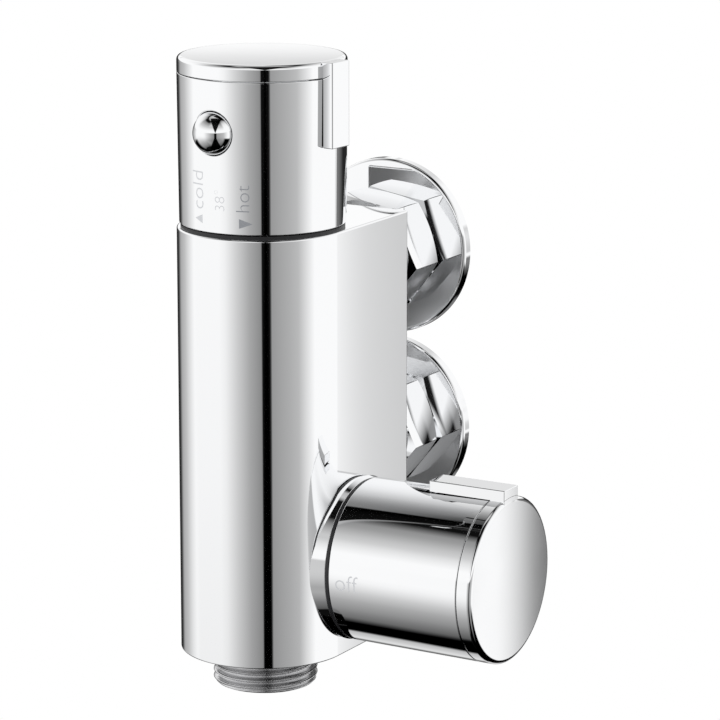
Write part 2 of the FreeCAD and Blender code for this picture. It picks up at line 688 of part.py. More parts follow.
def wall_union(side, at):
    """Union on the wall: thread for the nut in front, pipe end in the wall."""
    body = new_piece(side + "_wall_union", at, INTO_WALL)
    revolve(body, [
        ("pipe_bore", "-joint_plane"),
        ("union_radius - outlet_chamfer", "-joint_plane"),
        ("union_radius", "outlet_chamfer - joint_plane"),
        ("union_radius", "-pipe_shoulder"),
        ("pipe_radius", "-pipe_shoulder"),
        ("pipe_radius", "pipe_length - outlet_chamfer"),
        ("pipe_radius - outlet_chamfer", "pipe_length"),
        ("pipe_bore", "pipe_length"),
    ])


def rosette(side, at):
    """Pressed cover plate on the wall, with a rounded shoulder."""
    body = new_piece(side + "_rosette", at, INTO_WALL)
    inner_rounding = "rosette_rounding * 0.4"
    shell = "rosette_radius - rosette_sheet"
    roof = "rosette_sheet - rosette_depth"
    revolve(body, [
        ("rosette_hole", "-rosette_depth"),
        ("rosette_radius - rosette_rounding", "-rosette_depth", "rosette_radius - rosette_rounding"),
        ("rosette_radius", "rosette_rounding - rosette_depth"),
        ("rosette_radius", "0"),
        (shell, "0"),
        (shell, f"{roof} + {inner_rounding}", f"{shell} - {inner_rounding}"),
        (f"{shell} - {inner_rounding}", roof),
        ("rosette_hole", roof),
    ])


def cartridge():
    """Thermostatic cartridge: the fixed pieces in the body's upright bore."""
    cartridge_housing()
    middle_groove = "(collar_middle + collar_middle_end) / 2"
    for name, height in (
        ("upper", "(recess_depth + collar_top_end) / 2"),
        ("middle", middle_groove),
        ("lower", "(collar_bottom + cartridge_end) / 2"),
    ):
        o_ring(f"cartridge_{name}_o_ring", "groove_floor", "bore_radius", f"-({height})", VALVE_TOP)
    tube("cartridge_retaining_nut", "nut_bore", "recess_radius - nut_clearance", "-nut_thickness",
         "0", VALVE_TOP)
    tube("return_spring_seat", "seat_bore", "slide_radius - seat_gap", "-cartridge_end",
         "seat_height - cartridge_end", VALVE_TOP)
    stop = new_piece("temperature_stop_ring", VALVE_TOP, turn="knob_turn")
    revolve(stop, [
        ("neck_radius + neck_gap", "0"),
        ("stop_radius", "0"),
        ("stop_radius", "stop_thickness"),
        ("neck_radius + neck_gap", "stop_thickness"),
    ])
    block(stop, "StopLug", "AdditiveBox",
          ("arm_width", "-flange_reach", "0"),
          ("arm_width + lug_width", "flange_thickness - flange_reach", "lug_top"))


def cartridge_housing():
    """Housing with three sealed collars, two water rings and the spindle's neck."""
    body = new_piece("cartridge_housing", VALVE_TOP)
    corners = [
        ("shaft_hole", "neck_length"),
        ("neck_radius", "neck_length"),
        ("neck_radius", "-nut_thickness"),
        ("recess_radius - nut_clearance", "-nut_thickness"),
        ("recess_radius - nut_clearance", "-recess_depth"),
    ]
    for top, bottom in (
        ("recess_depth", "collar_top_end"),
        ("collar_middle", "collar_middle_end"),
        ("collar_bottom", "cartridge_end"),
    ):
        centre = f"(({top}) + ({bottom})) / 2"
        if top != "recess_depth":
            corners.append(("annulus_radius", f"-{top}"))
        corners += [
            ("collar_radius", f"-{top}"),
            ("collar_radius", f"groove_width / 2 - {centre}"),
            ("groove_floor", f"groove_width / 2 - {centre}"),
            ("groove_floor", f"-groove_width / 2 - {centre}"),
            ("collar_radius", f"-groove_width / 2 - {centre}"),
            ("collar_radius", f"-{bottom}"),
        ]
        if bottom != "cartridge_end":
            corners.append(("annulus_radius", f"-{bottom}"))
    corners += [
        ("slide_radius", "-cartridge_end"),
        ("slide_radius", "-slide_top"),
        ("shaft_hole", "-slide_top"),
    ]
    revolve(body, corners)
    for name, height in (("Upper", "-window_upper"), ("Lower", "-window_lower")):
        for direction, turned, start in (
            ("Across", ALONG_X, ("-bore_radius", "0", height)),
            ("Deep", INTO_WALL, ("0", "-bore_radius", height)),
        ):
            drill(body, f"{name}Window{direction}", "window_radius", "2 * bore_radius", start, turned)


def thermostat():
    """Moving pieces of the cartridge: spindle, adjusting nut, wax element, shuttle."""
    spindle = new_piece("temperature_spindle", VALVE_TOP)
    groove = "spindle_radius - groove_depth / 2"
    revolve(spindle, [
        ("0", "-slide_top - thread_length"),
        ("thread_radius", "-slide_top - thread_length"),
        ("thread_radius", "-slide_top - running_gap"),
        ("spindle_radius", "-slide_top - running_gap"),
        ("spindle_radius", "-groove_width - nut_thickness"),
        (groove, "-groove_width - nut_thickness"),
        (groove, "-nut_thickness"),
        ("spindle_radius", "-nut_thickness"),
        ("spindle_radius", "spindle_end"),
        ("screw_radius + seat_gap", "spindle_end"),
        ("screw_radius + seat_gap", "web_top - screw_length - seat_gap"),
        ("0", "web_top - screw_length - seat_gap"),
    ])
    o_ring("temperature_spindle_o_ring", groove, "shaft_hole", "-groove_width / 2 - nut_thickness",
           VALVE_TOP)
    adjuster = new_piece("adjusting_nut", VALVE_TOP)
    revolve(adjuster, [
        ("thread_radius + running_gap", "-adjuster_top"),
        ("carrier_radius", "-adjuster_top"),
        ("carrier_radius", "-adjuster_end"),
        ("shuttle_bore", "-adjuster_end"),
        ("shuttle_bore", "adjuster_skirt - adjuster_end"),
        ("thread_radius + running_gap", "adjuster_skirt - adjuster_end"),
    ])
    spring("overload_spring", "overload_coil", "overload_wire", "-wax_cap_top",
           "adjuster_skirt - adjuster_end", 4, VALVE_TOP)
    wax_element()
    shuttle = new_piece("shuttle_sleeve", VALVE_TOP)
    revolve(shuttle, [
        ("carrier_radius", "-window_upper"),
        ("carrier_radius", "-window_lower"),
        ("shuttle_bore", "-window_lower"),
        ("shuttle_bore", "-shuttle_web_top - shuttle_web"),
        ("wax_radius + seat_gap", "-shuttle_web_top - shuttle_web"),
        ("wax_radius + seat_gap", "-shuttle_web_top"),
        ("shuttle_bore", "-shuttle_web_top"),
        ("shuttle_bore", "-window_upper"),
    ])
    ring_of_holes(shuttle, "WaterHole", "shuttle_hole", "shuttle_hole_ring", 6,
                  "-shuttle_web_top - shuttle_web", "shuttle_web")
    spring("return_spring", "return_coil", "return_wire", "seat_height - cartridge_end",
           "-shuttle_web_top - shuttle_web", 6, VALVE_TOP)


def wax_element():
    """Wax bulb with its flange, piston and spring cap."""
    body = new_piece("wax_element", VALVE_TOP)
    revolve(body, [
        ("0", "-wax_end"),
        ("wax_radius / 2", "-wax_end"),
        ("wax_radius", "wax_radius / 2 - wax_end"),
        ("wax_radius", "-shuttle_web_top"),
        ("wax_flange", "-shuttle_web_top"),
        ("wax_flange", "wax_flange_height - shuttle_web_top"),
        ("wax_piston", "wax_flange_height - shuttle_web_top"),
        ("wax_piston", "-wax_cap_top - wax_cap_height"),
        ("wax_cap", "-wax_cap_top - wax_cap_height"),
        ("wax_cap", "-wax_cap_top"),
        ("0", "-wax_cap_top"),
    ])


def knob(name, foot, at, turned=UPRIGHT, turn=None, with_button=False):
    """Sleeve from its foot up, with hub, splined insert, screw and the cap with its grip fin."""
    sleeve = new_piece(name + "_knob_sleeve", at, turned, turn)
    revolve(sleeve, [
        ("foot_radius", foot),
        ("knob_radius", "cap_seam"),
        ("sleeve_bore", "cap_seam"),
        ("sleeve_bore", "web_top"),
        ("screw_hole", "web_top"),
        ("screw_hole", "web_bottom"),
        ("insert_radius", "web_bottom"),
        ("insert_radius", "hub_bottom"),
        ("hub_radius", "hub_bottom"),
        ("hub_radius", "web_bottom"),
        ("sleeve_bore", "web_bottom"),
        ("sleeve_bore", foot),
    ])
    if with_button:
        button_openings(sleeve)
    insert = new_piece(name + "_knob_insert", at, turned, turn)
    revolve(insert, [
        ("spindle_radius + seat_gap", "hub_bottom"),
        ("insert_radius - seat_gap", "hub_bottom"),
        ("insert_radius - seat_gap", "web_bottom"),
        ("spindle_radius + seat_gap", "web_bottom"),
    ])
    knob_cap(name, at, turned, turn)
    screw = new_piece(name + "_knob_screw", at, turned, turn)
    socket = "screw_radius * 0.75"
    revolve(screw, [
        ("0", "web_top - screw_length"),
        ("screw_radius", "web_top - screw_length"),
        ("screw_radius", "web_top"),
        ("screw_head", "web_top"),
        ("screw_head", "web_top + screw_head_height"),
        (socket, "web_top + screw_head_height"),
        (socket, "web_top + screw_head_height / 2"),
        ("0", "web_top + screw_head_height / 2"),
    ])


def knob_cap(name, at, turned, turn):
    """End cap; its fin hangs over the sleeve."""
    cap = new_piece(name + "_knob_cap", at, turned, turn)
    block(cap, "Fin", "AdditiveBox",
          ("knob_radius - fin_root", "-fin_width / 2", "knob_top - fin_length"),
          ("knob_radius + fin_rise", "fin_width / 2", "knob_top"))
    drill(cap, "FinUnderside", "knob_radius + fin_gap", "fin_length",
          ("0", "0", "cap_seam - fin_length"))
    round_edges(cap, "FinEdges", "fin_rounding", outer_fin_edge)
    revolve(cap, [
        ("0", "knob_top"),
        ("knob_radius - cap_rounding", "knob_top", "knob_radius - cap_rounding"),
        ("knob_radius", "knob_top - cap_rounding"),
        ("knob_radius", "cap_seam"),
        ("spigot_radius", "cap_seam"),
        ("spigot_radius", "cap_seam - spigot_length"),
        ("spigot_radius - spigot_wall", "cap_seam - spigot_length"),
        ("spigot_radius - spigot_wall", "knob_top - cap_plate"),
        ("0", "knob_top - cap_plate"),
    ], "Cap")


def outer_fin_edge(edge):
    """True for the two long edges on the fin's outer face."""
    box = edge.BoundBox
    return abs(box.XMin - value("knob_radius + fin_rise")) < 1e-3 and box.ZLength > value("fin_length / 2")


def button_openings(sleeve):
    """The button's hole, its guide block and the slot for its stop arm."""
    block(sleeve, "GuideBlock", "AdditiveBox",
          ("-guide_width / 2", "-guide_outer", "web_bottom"),
          ("guide_width / 2", "-guide_inner", "button_height + guide_width / 2"))
    drill(sleeve, "GuideHole", "tail_radius + running_gap", "guide_outer",
          ("0", "0", "button_height"), ALONG_FRONT)
    drill(sleeve, "ButtonHole", "button_hole", "knob_radius",
          ("0", "-flange_reach", "button_height"), ALONG_FRONT)
    half = "arm_width / 2 + arm_slot"
    block(sleeve, "ArmSlot", "SubtractiveBox",
          (f"-({half})", "-sleeve_bore", "web_bottom"),
          (half, "flange_thickness + button_travel + arm_slot - flange_reach", "web_top"))


def safety_button():
    """Button that lifts the 38 degree stop: domed head, flange, guide rod and arm."""
    body = new_piece("safety_button", VALVE_TOP, turn="knob_turn")
    for name, radius, near, far in (
        ("Head", "button_radius", "flange_reach - flange_thickness", "button_reach"),
        ("Flange", "flange_radius", "flange_reach - flange_thickness", "flange_reach"),
        ("GuideRod", "tail_radius", "tail_reach", "flange_reach"),
    ):
        solid(body, "AdditiveCylinder", name, {"Radius": radius, "Height": f"{far} - ({near})"},
              ("0", f"-({near})", "button_height"), ALONG_FRONT)
    solid(body, "AdditiveSphere", "Dome", {"Radius": "button_radius"},
          ("0", "-button_reach", "button_height"), ALONG_FRONT)
    block(body, "StopArm", "AdditiveBox",
          ("-arm_width / 2", "-flange_reach", "arm_bottom"),
          ("arm_width / 2", "flange_thickness - flange_reach", "button_height"))
    at = ("0", "-wall_distance", "body_top + button_height")
    spring("safety_button_spring", "button_coil", "button_wire", "flange_thickness - flange_reach",
           "-guide_outer", 3, at, turn="knob_turn", role="XY_Plane")


def headwork():
    """Flow valve in the body's side bore: fixed pieces, then the turning ones."""
    at, turned = VALVE_SIDE, TO_THE_RIGHT
    housing = new_piece("flow_headwork", at, turned)
    floor = "flow_bore - seat_gap - groove_depth"
    top = "-flow_recess_depth - groove_width / 2"
    revolve(housing, [
        ("shaft_hole", "neck_length"),
        ("neck_radius", "neck_length"),
        ("neck_radius", "0"),
        ("flow_recess - seat_gap", "0"),
        ("flow_recess - seat_gap", "-flow_recess_depth"),
        ("flow_bore - seat_gap", "-flow_recess_depth"),
        ("flow_bore - seat_gap", top),
        (floor, top),
        (floor, f"{top} - groove_width"),
        ("flow_bore - seat_gap", f"{top} - groove_width"),
        ("flow_bore - seat_gap", "-skirt_roof"),
        ("skirt_radius", "-skirt_roof"),
        ("skirt_radius", "-disc_floor"),
        ("skirt_bore", "-disc_floor"),
        ("skirt_bore", "-skirt_roof"),
        ("shaft_hole", "-skirt_roof"),
    ])
    for direction, way, start in (
        ("Across", ALONG_X, ("-flow_bore", "0", "-skirt_window_depth")),
        ("Deep", INTO_WALL, ("0", "-flow_bore", "-skirt_window_depth")),
    ):
        drill(housing, "Window" + direction, "skirt_window", "2 * flow_bore", start, way)
    o_ring("flow_headwork_o_ring", floor, "flow_bore", f"{top} - groove_width / 2", at, turned)
    tube("flow_seat_seal", "flow_port", "disc_radius", "-flow_depth", "-disc_floor", at, turned)
    tube("flow_stop_ring", "neck_radius + neck_gap", "stop_radius", "boss_rise",
         "boss_rise + stop_thickness", at, turned)
    ceramic_disc("flow_fixed_disc", "-disc_floor", "-disc_middle", "disc_radius")
    moving = ceramic_disc("flow_moving_disc", "-disc_middle + disc_gap", "-disc_roof",
                          "skirt_bore - running_gap")
    block(moving, "Slot", "SubtractiveBox",
          ("-tongue_width / 2 - seat_gap", "-tongue_length / 2 - seat_gap",
           "-disc_roof - tongue_depth - seat_gap"),
          ("tongue_width / 2 + seat_gap", "tongue_length / 2 + seat_gap", "-disc_roof"))
    flow_spindle(at, turned)


def ceramic_disc(label, low, high, radius):
    """Ceramic disc with two water ports, up and down of its centre."""
    body = new_piece(label, VALVE_SIDE, TO_THE_RIGHT)
    revolve(body, [("0", low), (radius, low), (radius, high), ("0", high)])
    for name, across in (("PortNear", "disc_port_offset"), ("PortFar", "-disc_port_offset")):
        drill(body, name, "disc_port", f"({high}) - ({low})", (across, "0", low))
    return body


def flow_spindle(at, turned):
    """Spindle that turns the moving disc with its tongue."""
    body = new_piece("flow_spindle", at, turned)
    groove = "spindle_radius - groove_depth / 2"
    groove_top = "-flow_recess_depth"
    revolve(body, [
        ("0", "-disc_roof"),
        ("stem_waist", "-disc_roof"),
        ("stem_waist", "-skirt_roof - running_gap - driver_height"),
        ("driver_radius", "-skirt_roof - running_gap - driver_height"),
        ("driver_radius", "-skirt_roof - running_gap"),
        ("spindle_radius", "-skirt_roof - running_gap"),
        ("spindle_radius", f"{groove_top} - groove_width"),
        (groove, f"{groove_top} - groove_width"),
        (groove, groove_top),
        ("spindle_radius", groove_top),
        ("spindle_radius", "spindle_end"),
        ("screw_radius + seat_gap", "spindle_end"),
        ("screw_radius + seat_gap", "web_top - screw_length - seat_gap"),
        ("0", "web_top - screw_length - seat_gap"),
    ])
    block(body, "Tongue", "AdditiveBox",
          ("-tongue_width / 2", "-tongue_length / 2", "-disc_roof - tongue_depth"),
          ("tongue_width / 2", "tongue_length / 2", "-disc_roof"))
    o_ring("flow_spindle_o_ring", groove, "shaft_hole", f"{groove_top} - groove_width / 2", at, turned)


def check_and_export():
    """Stop on any failed object, then write each piece to its own file."""
    doc.recompute()
    for item in doc.Objects:
        if "Invalid" in item.State or "Error" in item.State:
            raise RuntimeError(f"{item.Label} did not build: {item.State}")
    os.makedirs("parts", exist_ok=True)
    for body in pieces:
        if body.Shape.isNull() or not body.Shape.isValid() or len(body.Shape.Solids) != 1:
            raise RuntimeError(f"{body.Label} has no valid solid")
        body.Shape.exportStep(f"parts/{body.Label}.step")
    print(len(pieces), "pieces written")


fill_sheet()
valve_body()
outlet()
inlet("upper", "0")
inlet("lower", "-inlet_spacing")
cartridge()
thermostat()
knob("temperature", "knob_gap", VALVE_TOP, turn="knob_turn", with_button=True)
safety_button()
headwork()
knob("flow", "boss_rise + knob_gap", VALVE_SIDE, TO_THE_RIGHT)
check_and_export()
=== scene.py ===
"""Looks of a wall-mounted thermostatic shower mixer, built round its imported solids.

Frame: origin on the wall at the upper inlet, +Z up, -Y to the user, +X to the flow knob. Metres.
The surfaces are worked out in millimetres and become metres when they are made a mesh.
"""

import json
import math
from types import SimpleNamespace

import bmesh
import bpy
import numpy as np
from bpy.props import FloatProperty, FloatVectorProperty, PointerProperty
from bpy.types import Operator, Panel, PropertyGroup
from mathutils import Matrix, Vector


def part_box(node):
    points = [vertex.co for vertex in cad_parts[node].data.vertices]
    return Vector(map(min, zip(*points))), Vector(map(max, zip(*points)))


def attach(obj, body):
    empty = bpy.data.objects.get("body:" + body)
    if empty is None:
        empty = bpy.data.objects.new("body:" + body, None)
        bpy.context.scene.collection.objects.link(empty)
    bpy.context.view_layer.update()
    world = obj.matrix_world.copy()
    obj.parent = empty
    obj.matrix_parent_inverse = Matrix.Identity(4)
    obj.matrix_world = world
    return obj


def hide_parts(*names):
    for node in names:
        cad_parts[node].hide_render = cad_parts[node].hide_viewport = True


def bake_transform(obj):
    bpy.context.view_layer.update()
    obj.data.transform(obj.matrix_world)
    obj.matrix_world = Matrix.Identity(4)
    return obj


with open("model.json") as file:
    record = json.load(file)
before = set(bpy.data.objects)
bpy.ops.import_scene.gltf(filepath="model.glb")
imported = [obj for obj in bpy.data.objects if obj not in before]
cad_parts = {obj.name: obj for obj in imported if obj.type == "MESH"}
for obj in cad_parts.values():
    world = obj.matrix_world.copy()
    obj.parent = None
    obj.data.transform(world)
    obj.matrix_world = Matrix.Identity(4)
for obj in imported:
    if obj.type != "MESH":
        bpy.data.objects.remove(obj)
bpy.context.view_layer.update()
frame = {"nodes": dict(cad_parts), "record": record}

bl_info = {
    "name": "Thermostatic Shower Mixer",
    "version": (1, 0, 0),
    "blender": (4, 5, 0),
    "location": "3D View > Sidebar > Mixer",
    "description": "Builds the chrome, rubber and brass looks of a wall-mounted shower mixer",
    "category": "Object",
}

MM = 0.001
# Directions that a patch's own x, y and z are laid along, by where its z ends up.
UPRIGHT = ((1, 0, 0), (0, 1, 0), (0, 0, 1))
TO_THE_USER = ((1, 0, 0), (0, 0, 1), (0, -1, 0))
TO_THE_WALL = ((1, 0, 0), (0, 0, -1), (0, 1, 0))
TO_THE_RIGHT = ((0, 0, 1), (0, -1, 0), (1, 0, 0))
# Profiles inside, (radius, height) in millimetres: from a bore's opening inwards but for OUTLET_BORE, which runs
# from its floor to the socket, and the web and hub of a knob.
PORT_BORE = ((5.8, -9.5), (5.8, -20), (0, -20))
CARTRIDGE_BORE = ((14.5, -5), (14.5, -74.7), (0, -74.7))
HEADWORK_BORE = ((9, -2), (9, -19.35), (5, -19.35), (5, -30), (0, -30))
OUTLET_BORE = ((0, 13.5), (9, 13.5), (9, 9))
WEB_RADIUS, WEB_LOW, WEB_HIGH, SEAT_RADIUS, HUB_RADIUS = 18.8, 13.6, 16.6, 2, 8.2
HUB = ((SEAT_RADIUS, WEB_HIGH), (SEAT_RADIUS, WEB_LOW), (5.5, WEB_LOW), (5.5, 6.1), (HUB_RADIUS, 6.1),
       (HUB_RADIUS, WEB_LOW))
# Finishes that more than one piece takes: metallic, roughness, its wander, grain, depth, coat, spacing of marks.
POLISHED = (1.0, 0.025, 0.006, 0.012, 2e-7)
MACHINED = (1.0, 0.24, 0.05, 0.0006, 3e-6, 0.0, 0.0002)
ETCHED = (0.0, 0.45, 0.05, 0.0005, 1e-6)
# Print in millimetres: half its thickness, its middle above the wall, and how far its outline is moved out.
PRINT_HALF, PRINT_LIFT, PRINT_OFFSET = 0.004, 0.006, -0.09

BODY_LOW, BODY_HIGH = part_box("valve_body")
SLEEVE_LOW, SLEEVE_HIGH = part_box("flow_knob_sleeve")
CAP_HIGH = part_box("flow_knob_cap")[1]
ROSETTE_LOW, ROSETTE_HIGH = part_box("upper_rosette")
NUT_LOW, NUT_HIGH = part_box("upper_union_nut")
OUTLET_LOW, OUTLET_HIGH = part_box("outlet_nipple")
UNION_LOW, UNION_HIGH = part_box("upper_wall_union")
CHECK_LOW, CHECK_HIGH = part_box("upper_check_valve_spring")
RETURN_LOW, RETURN_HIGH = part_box("return_spring")


def length(name, default, description):
    """A size in metres."""
    return FloatProperty(name=name, default=default, description=description, unit="LENGTH", precision=5)


def angle(name, degrees, description):
    """An angle."""
    return FloatProperty(name=name, default=math.radians(degrees), description=description, unit="ROTATION")


def paint(name, default, description):
    """A colour."""
    return FloatVectorProperty(name=name, default=default, description=description, subtype="COLOR",
                               min=0.0, max=1.0)


class MixerBodySizes(PropertyGroup):
    """Sizes of the casting."""

    radius: length("Front radius", -BODY_LOW.x, "Round front of the casting")
    axis: length("Axis", BODY_LOW.y - BODY_LOW.x, "Upright axis from the wall, towards the wall positive")
    top: length("Top", BODY_HIGH.z, "Top face above the upper inlet")
    bottom: length("Bottom", BODY_LOW.z, "Bottom face from the upper inlet")
    rear: length("Rear face", BODY_HIGH.y, "Rear face from the wall")
    rim: length("Top rim rounding", 0.5 * MM, "Rounding of the top rim")
    foot: length("Bottom rounding", 0.35 * MM, "Rounding of the bottom edge")
    corner: length("Rear corner rounding", 0.6 * MM, "Rounding of the two upright rear edges")
    spacing: length("Inlet spacing", 47.5 * MM, "Between the two inlets")
    flow_drop: length("Flow axis drop", -(SLEEVE_LOW.z + SLEEVE_HIGH.z) / 2, "Flow axis below the upper inlet")
    flow_axis: length("Flow axis", (SLEEVE_LOW.y + SLEEVE_HIGH.y) / 2, "Flow axis from the wall")
    boss_radius: length("Boss radius", 20.5 * MM, "Round boss under the flow knob")
    boss_rise: length("Boss rise", BODY_HIGH.x + BODY_LOW.x, "Boss beyond the flat side")
    boss_edge: length("Boss edge", 0.15 * MM, "Rounding of the boss's edge")
    boss_draft: angle("Boss draft", 14.0, "How much the boss widens towards the casting")
    recess: length("Top recess", 16.0 * MM, "Radius of the cartridge's recess")
    flow_recess: length("Side recess", 10.6 * MM, "Radius of the headwork's recess")
    port: length("Rear port", 10.48 * MM, "Radius of the rear ports")
    socket: length("Outlet socket", 12.0 * MM, "Radius of the outlet's socket")


class MixerKnobSizes(PropertyGroup):
    """Sizes that both knobs share, and the button's."""

    radius: length("Radius", (SLEEVE_HIGH.y - SLEEVE_LOW.y) / 2, "Knob at its cap")
    taper: length("Taper", 0.3 * MM, "How much slimmer the foot is")
    gap: length("Gap", SLEEVE_LOW.x - BODY_HIGH.x, "Casting to the knob's foot")
    seam: length("Seam", SLEEVE_HIGH.x + BODY_LOW.x, "Casting's flat face to the cap's seam")
    end: length("End", CAP_HIGH.x + BODY_LOW.x, "Casting's flat face to the knob's end face")
    rounding: length("Cap rounding", 1.2 * MM, "Rounding of the cap's edge")
    edge: length("Seam edge", 0.2 * MM, "Rounding on each side of the seam")
    seam_gap: length("Seam gap", 0.16 * MM, "Shadow gap between sleeve and cap")
    bore: length("Bore", 18.8 * MM, "Inner radius of the sleeve")
    fin_width: length("Fin width", 7.2 * MM, "Grip fin across")
    fin_rise: length("Fin rise", 2.6 * MM, "Grip fin above the knob")
    fin_length: length("Fin length", 21.0 * MM, "Grip fin along the knob")
    fin_gap: length("Fin gap", 0.15 * MM, "Grip fin above the sleeve")
    fin_edge: length("Fin edge", 0.35 * MM, "Rounding of the fin's edges")
    turn: angle("Temperature turn", -4.5, "How far the temperature knob is turned at 38 degrees")
    button_height: length("Button height", 25.6 * MM, "Button above the body's top")
    button_radius: length("Button radius", 5.42 * MM, "Button head")
    button_hole: length("Button hole", 5.5 * MM, "Hole for the button")
    button_reach: length("Button reach", 19.6 * MM, "Knob axis to the centre of the dome")
    button_edge: length("Hole edge", 0.3 * MM, "Rounding of the button's hole")


class MixerSpringSizes(PropertyGroup):
    """Sizes of the springs that a stroke presses; each radius is the middle of the wire's."""

    button_coil: length("Button spring", 3.4 * MM, "Radius of the button's spring")
    button_wire: length("Button wire", 0.35 * MM, "Radius of its wire")
    button_foot: length("Button spring's foot", 9.0 * MM, "Knob axis to the spring's still end")
    button_length: length("Button spring's length", 6.0 * MM, "Spring with the button out")
    button_stroke: length("Button stroke", 2.8 * MM, "How far the button goes in")
    check_coil: length("Check spring", CHECK_HIGH.x - 0.35 * MM, "Radius of the check valves' springs")
    check_wire: length("Check wire", 0.35 * MM, "Radius of its wire")
    check_foot: length("Check spring's foot", CHECK_LOW.y, "Its still end from the wall")
    check_length: length("Check spring's length", CHECK_HIGH.y - CHECK_LOW.y, "Spring with the valve shut")
    check_stroke: length("Check stroke", 2.5 * MM, "How far a check valve opens")
    return_coil: length("Return spring", RETURN_HIGH.x - 0.7 * MM, "Radius of the thermostat's return spring")
    return_wire: length("Return wire", 0.7 * MM, "Radius of its wire")
    return_foot: length("Return spring's foot", RETURN_LOW.z, "Its lower end from the upper inlet")
    return_length: length("Return spring's length", RETURN_HIGH.z - RETURN_LOW.z, "Spring at 38 degrees")
    return_stroke: length("Return stroke", 1.52 * MM, "How far the shuttle goes down")


class MixerPipeSizes(PropertyGroup):
    """Sizes of the nuts, rosettes and threads."""

    nut_flats: length("Nut across flats", 29.0 * MM, "Union nut across two flats")
    nut_crown: length("Nut crown", 0.2 * MM, "How much a flat bulges, across and along")
    nut_front: length("Nut front", NUT_LOW.y, "Nut's front face from the wall")
    nut_rear: length("Nut rear", NUT_HIGH.y, "Nut's rear face from the wall")
    nut_turn: angle("Nut turn", -9.0, "How the union nuts stopped")
    nut_slope: FloatProperty(name="Nut slope", default=0.658, description="Rise of the chamfer per radius")
    rosette_radius: length("Rosette radius", ROSETTE_HIGH.x, "Wall rosette")
    rosette_depth: length("Rosette depth", -ROSETTE_LOW.y, "Wall rosette")
    outlet_radius: length("Outlet radius", OUTLET_HIGH.x, "Crest of the outlet's thread")
    outlet_end: length("Outlet end", OUTLET_LOW.z, "Lower end of the outlet from the upper inlet")
    union_radius: length("Union radius", UNION_HIGH.x, "Crest of the union's thread")
    union_end: length("Union end", UNION_HIGH.y, "Pipe end behind the wall")
    union_front: length("Union front", UNION_LOW.y, "Union's sealing face from the wall")
    pipe_radius: length("Pipe radius", 10.48 * MM, "Crest of the pipe thread")
    pitch: length("Thread pitch", 1.814 * MM, "Fourteen turns to the inch")
    depth: length("Thread depth", 1.16 * MM, "Crest to root")
    chamfer: length("Thread chamfer", 0.9 * MM, "Start of every thread")


class MixerColours(PropertyGroup):
    """Colours of the finishes."""

    chrome: paint("Chrome", (0.955, 0.96, 0.968), "Polished chrome plate")
    nickel: paint("Machined nickel", (0.78, 0.78, 0.79), "Machined thread")
    brass: paint("Brass", (0.72, 0.5, 0.22), "Turned brass inside")
    steel: paint("Spring steel", (0.6, 0.6, 0.61), "Springs, screws and strainers")
    black: paint("Black plastic", (0.012, 0.012, 0.014), "Stop rings under the knobs")
    white: paint("White plastic", (0.8, 0.79, 0.76), "Moulded pieces inside")
    rubber: paint("Rubber", (0.018, 0.018, 0.018), "O-rings and washers")
    ceramic: paint("Ceramic", (0.88, 0.86, 0.82), "Lapped discs")
    print_pale: paint("Pale print", (0.6, 0.61, 0.63), "Print on the cold side")
    print_dark: paint("Dark print", (0.25, 0.26, 0.28), "Print on the hot side")


class MixerStudio(PropertyGroup):
    """Camera, floor and surroundings."""

    bearing: angle("Camera bearing", 29.94, "How far the camera stands to the right of the front")
    dip: angle("Camera dip", 12.79, "How far the camera looks down")
    lens: FloatProperty(name="Lens", default=178.8, description="Focal length in millimetres")
    place: FloatVectorProperty(name="Camera place", default=(0.4553, -0.8079, 0.179), unit="LENGTH",
                               description="Where the camera stands")
    floor_drop: length("Floor drop", 0.5, "Floor below the outlet")
    floor_radius: length("Floor radius", 1.1, "Round floor")
    floor: paint("Floor", (0.86, 0.86, 0.86), "Pale floor")
    lamp: FloatProperty(name="Lamp power", default=6.0, unit="POWER", description="Soft key lamp")
    room: FloatProperty(name="Room level", default=0.9, description="Soft light from all round")


# Levels seen in the polished metal at low heights, by the bearing from the camera in degrees, right positive.
SIDE_LEVELS = (
    (-180, 0.03), (-165, 0.013), (-152, 0.05), (-142, 0.41), (-128, 0.54), (-117, 0.75), (-105, 1.0),
    (-60, 1.0), (-51, 0.93), (-34, 0.65), (-17, 0.41), (-1.5, 0.27), (0, 0.004), (11, 0.004), (12, 0.33),
    (26, 0.40), (37, 0.45), (49, 0.52), (61, 0.74), (74, 1.0), (118.5, 1.0), (121, 0.6), (124, 0.2), (130, 0.155),
    (144, 0.02),
)
# The same in fine steps over the narrow stretch that the faces looking right reflect.
RIGHT_LEVELS = (
    (119, 1.0), (119.7, 0.96), (119.8, 0.885), (120, 0.79), (120.2, 0.715), (120.4, 0.68), (120.8, 0.63),
    (121.6, 0.6), (122, 1.0), (122.42, 1.0), (122.57, 0.89), (122.75, 0.7), (122.9, 0.5), (123.05, 0.31),
    (123.2, 0.2), (124, 0.2),
)
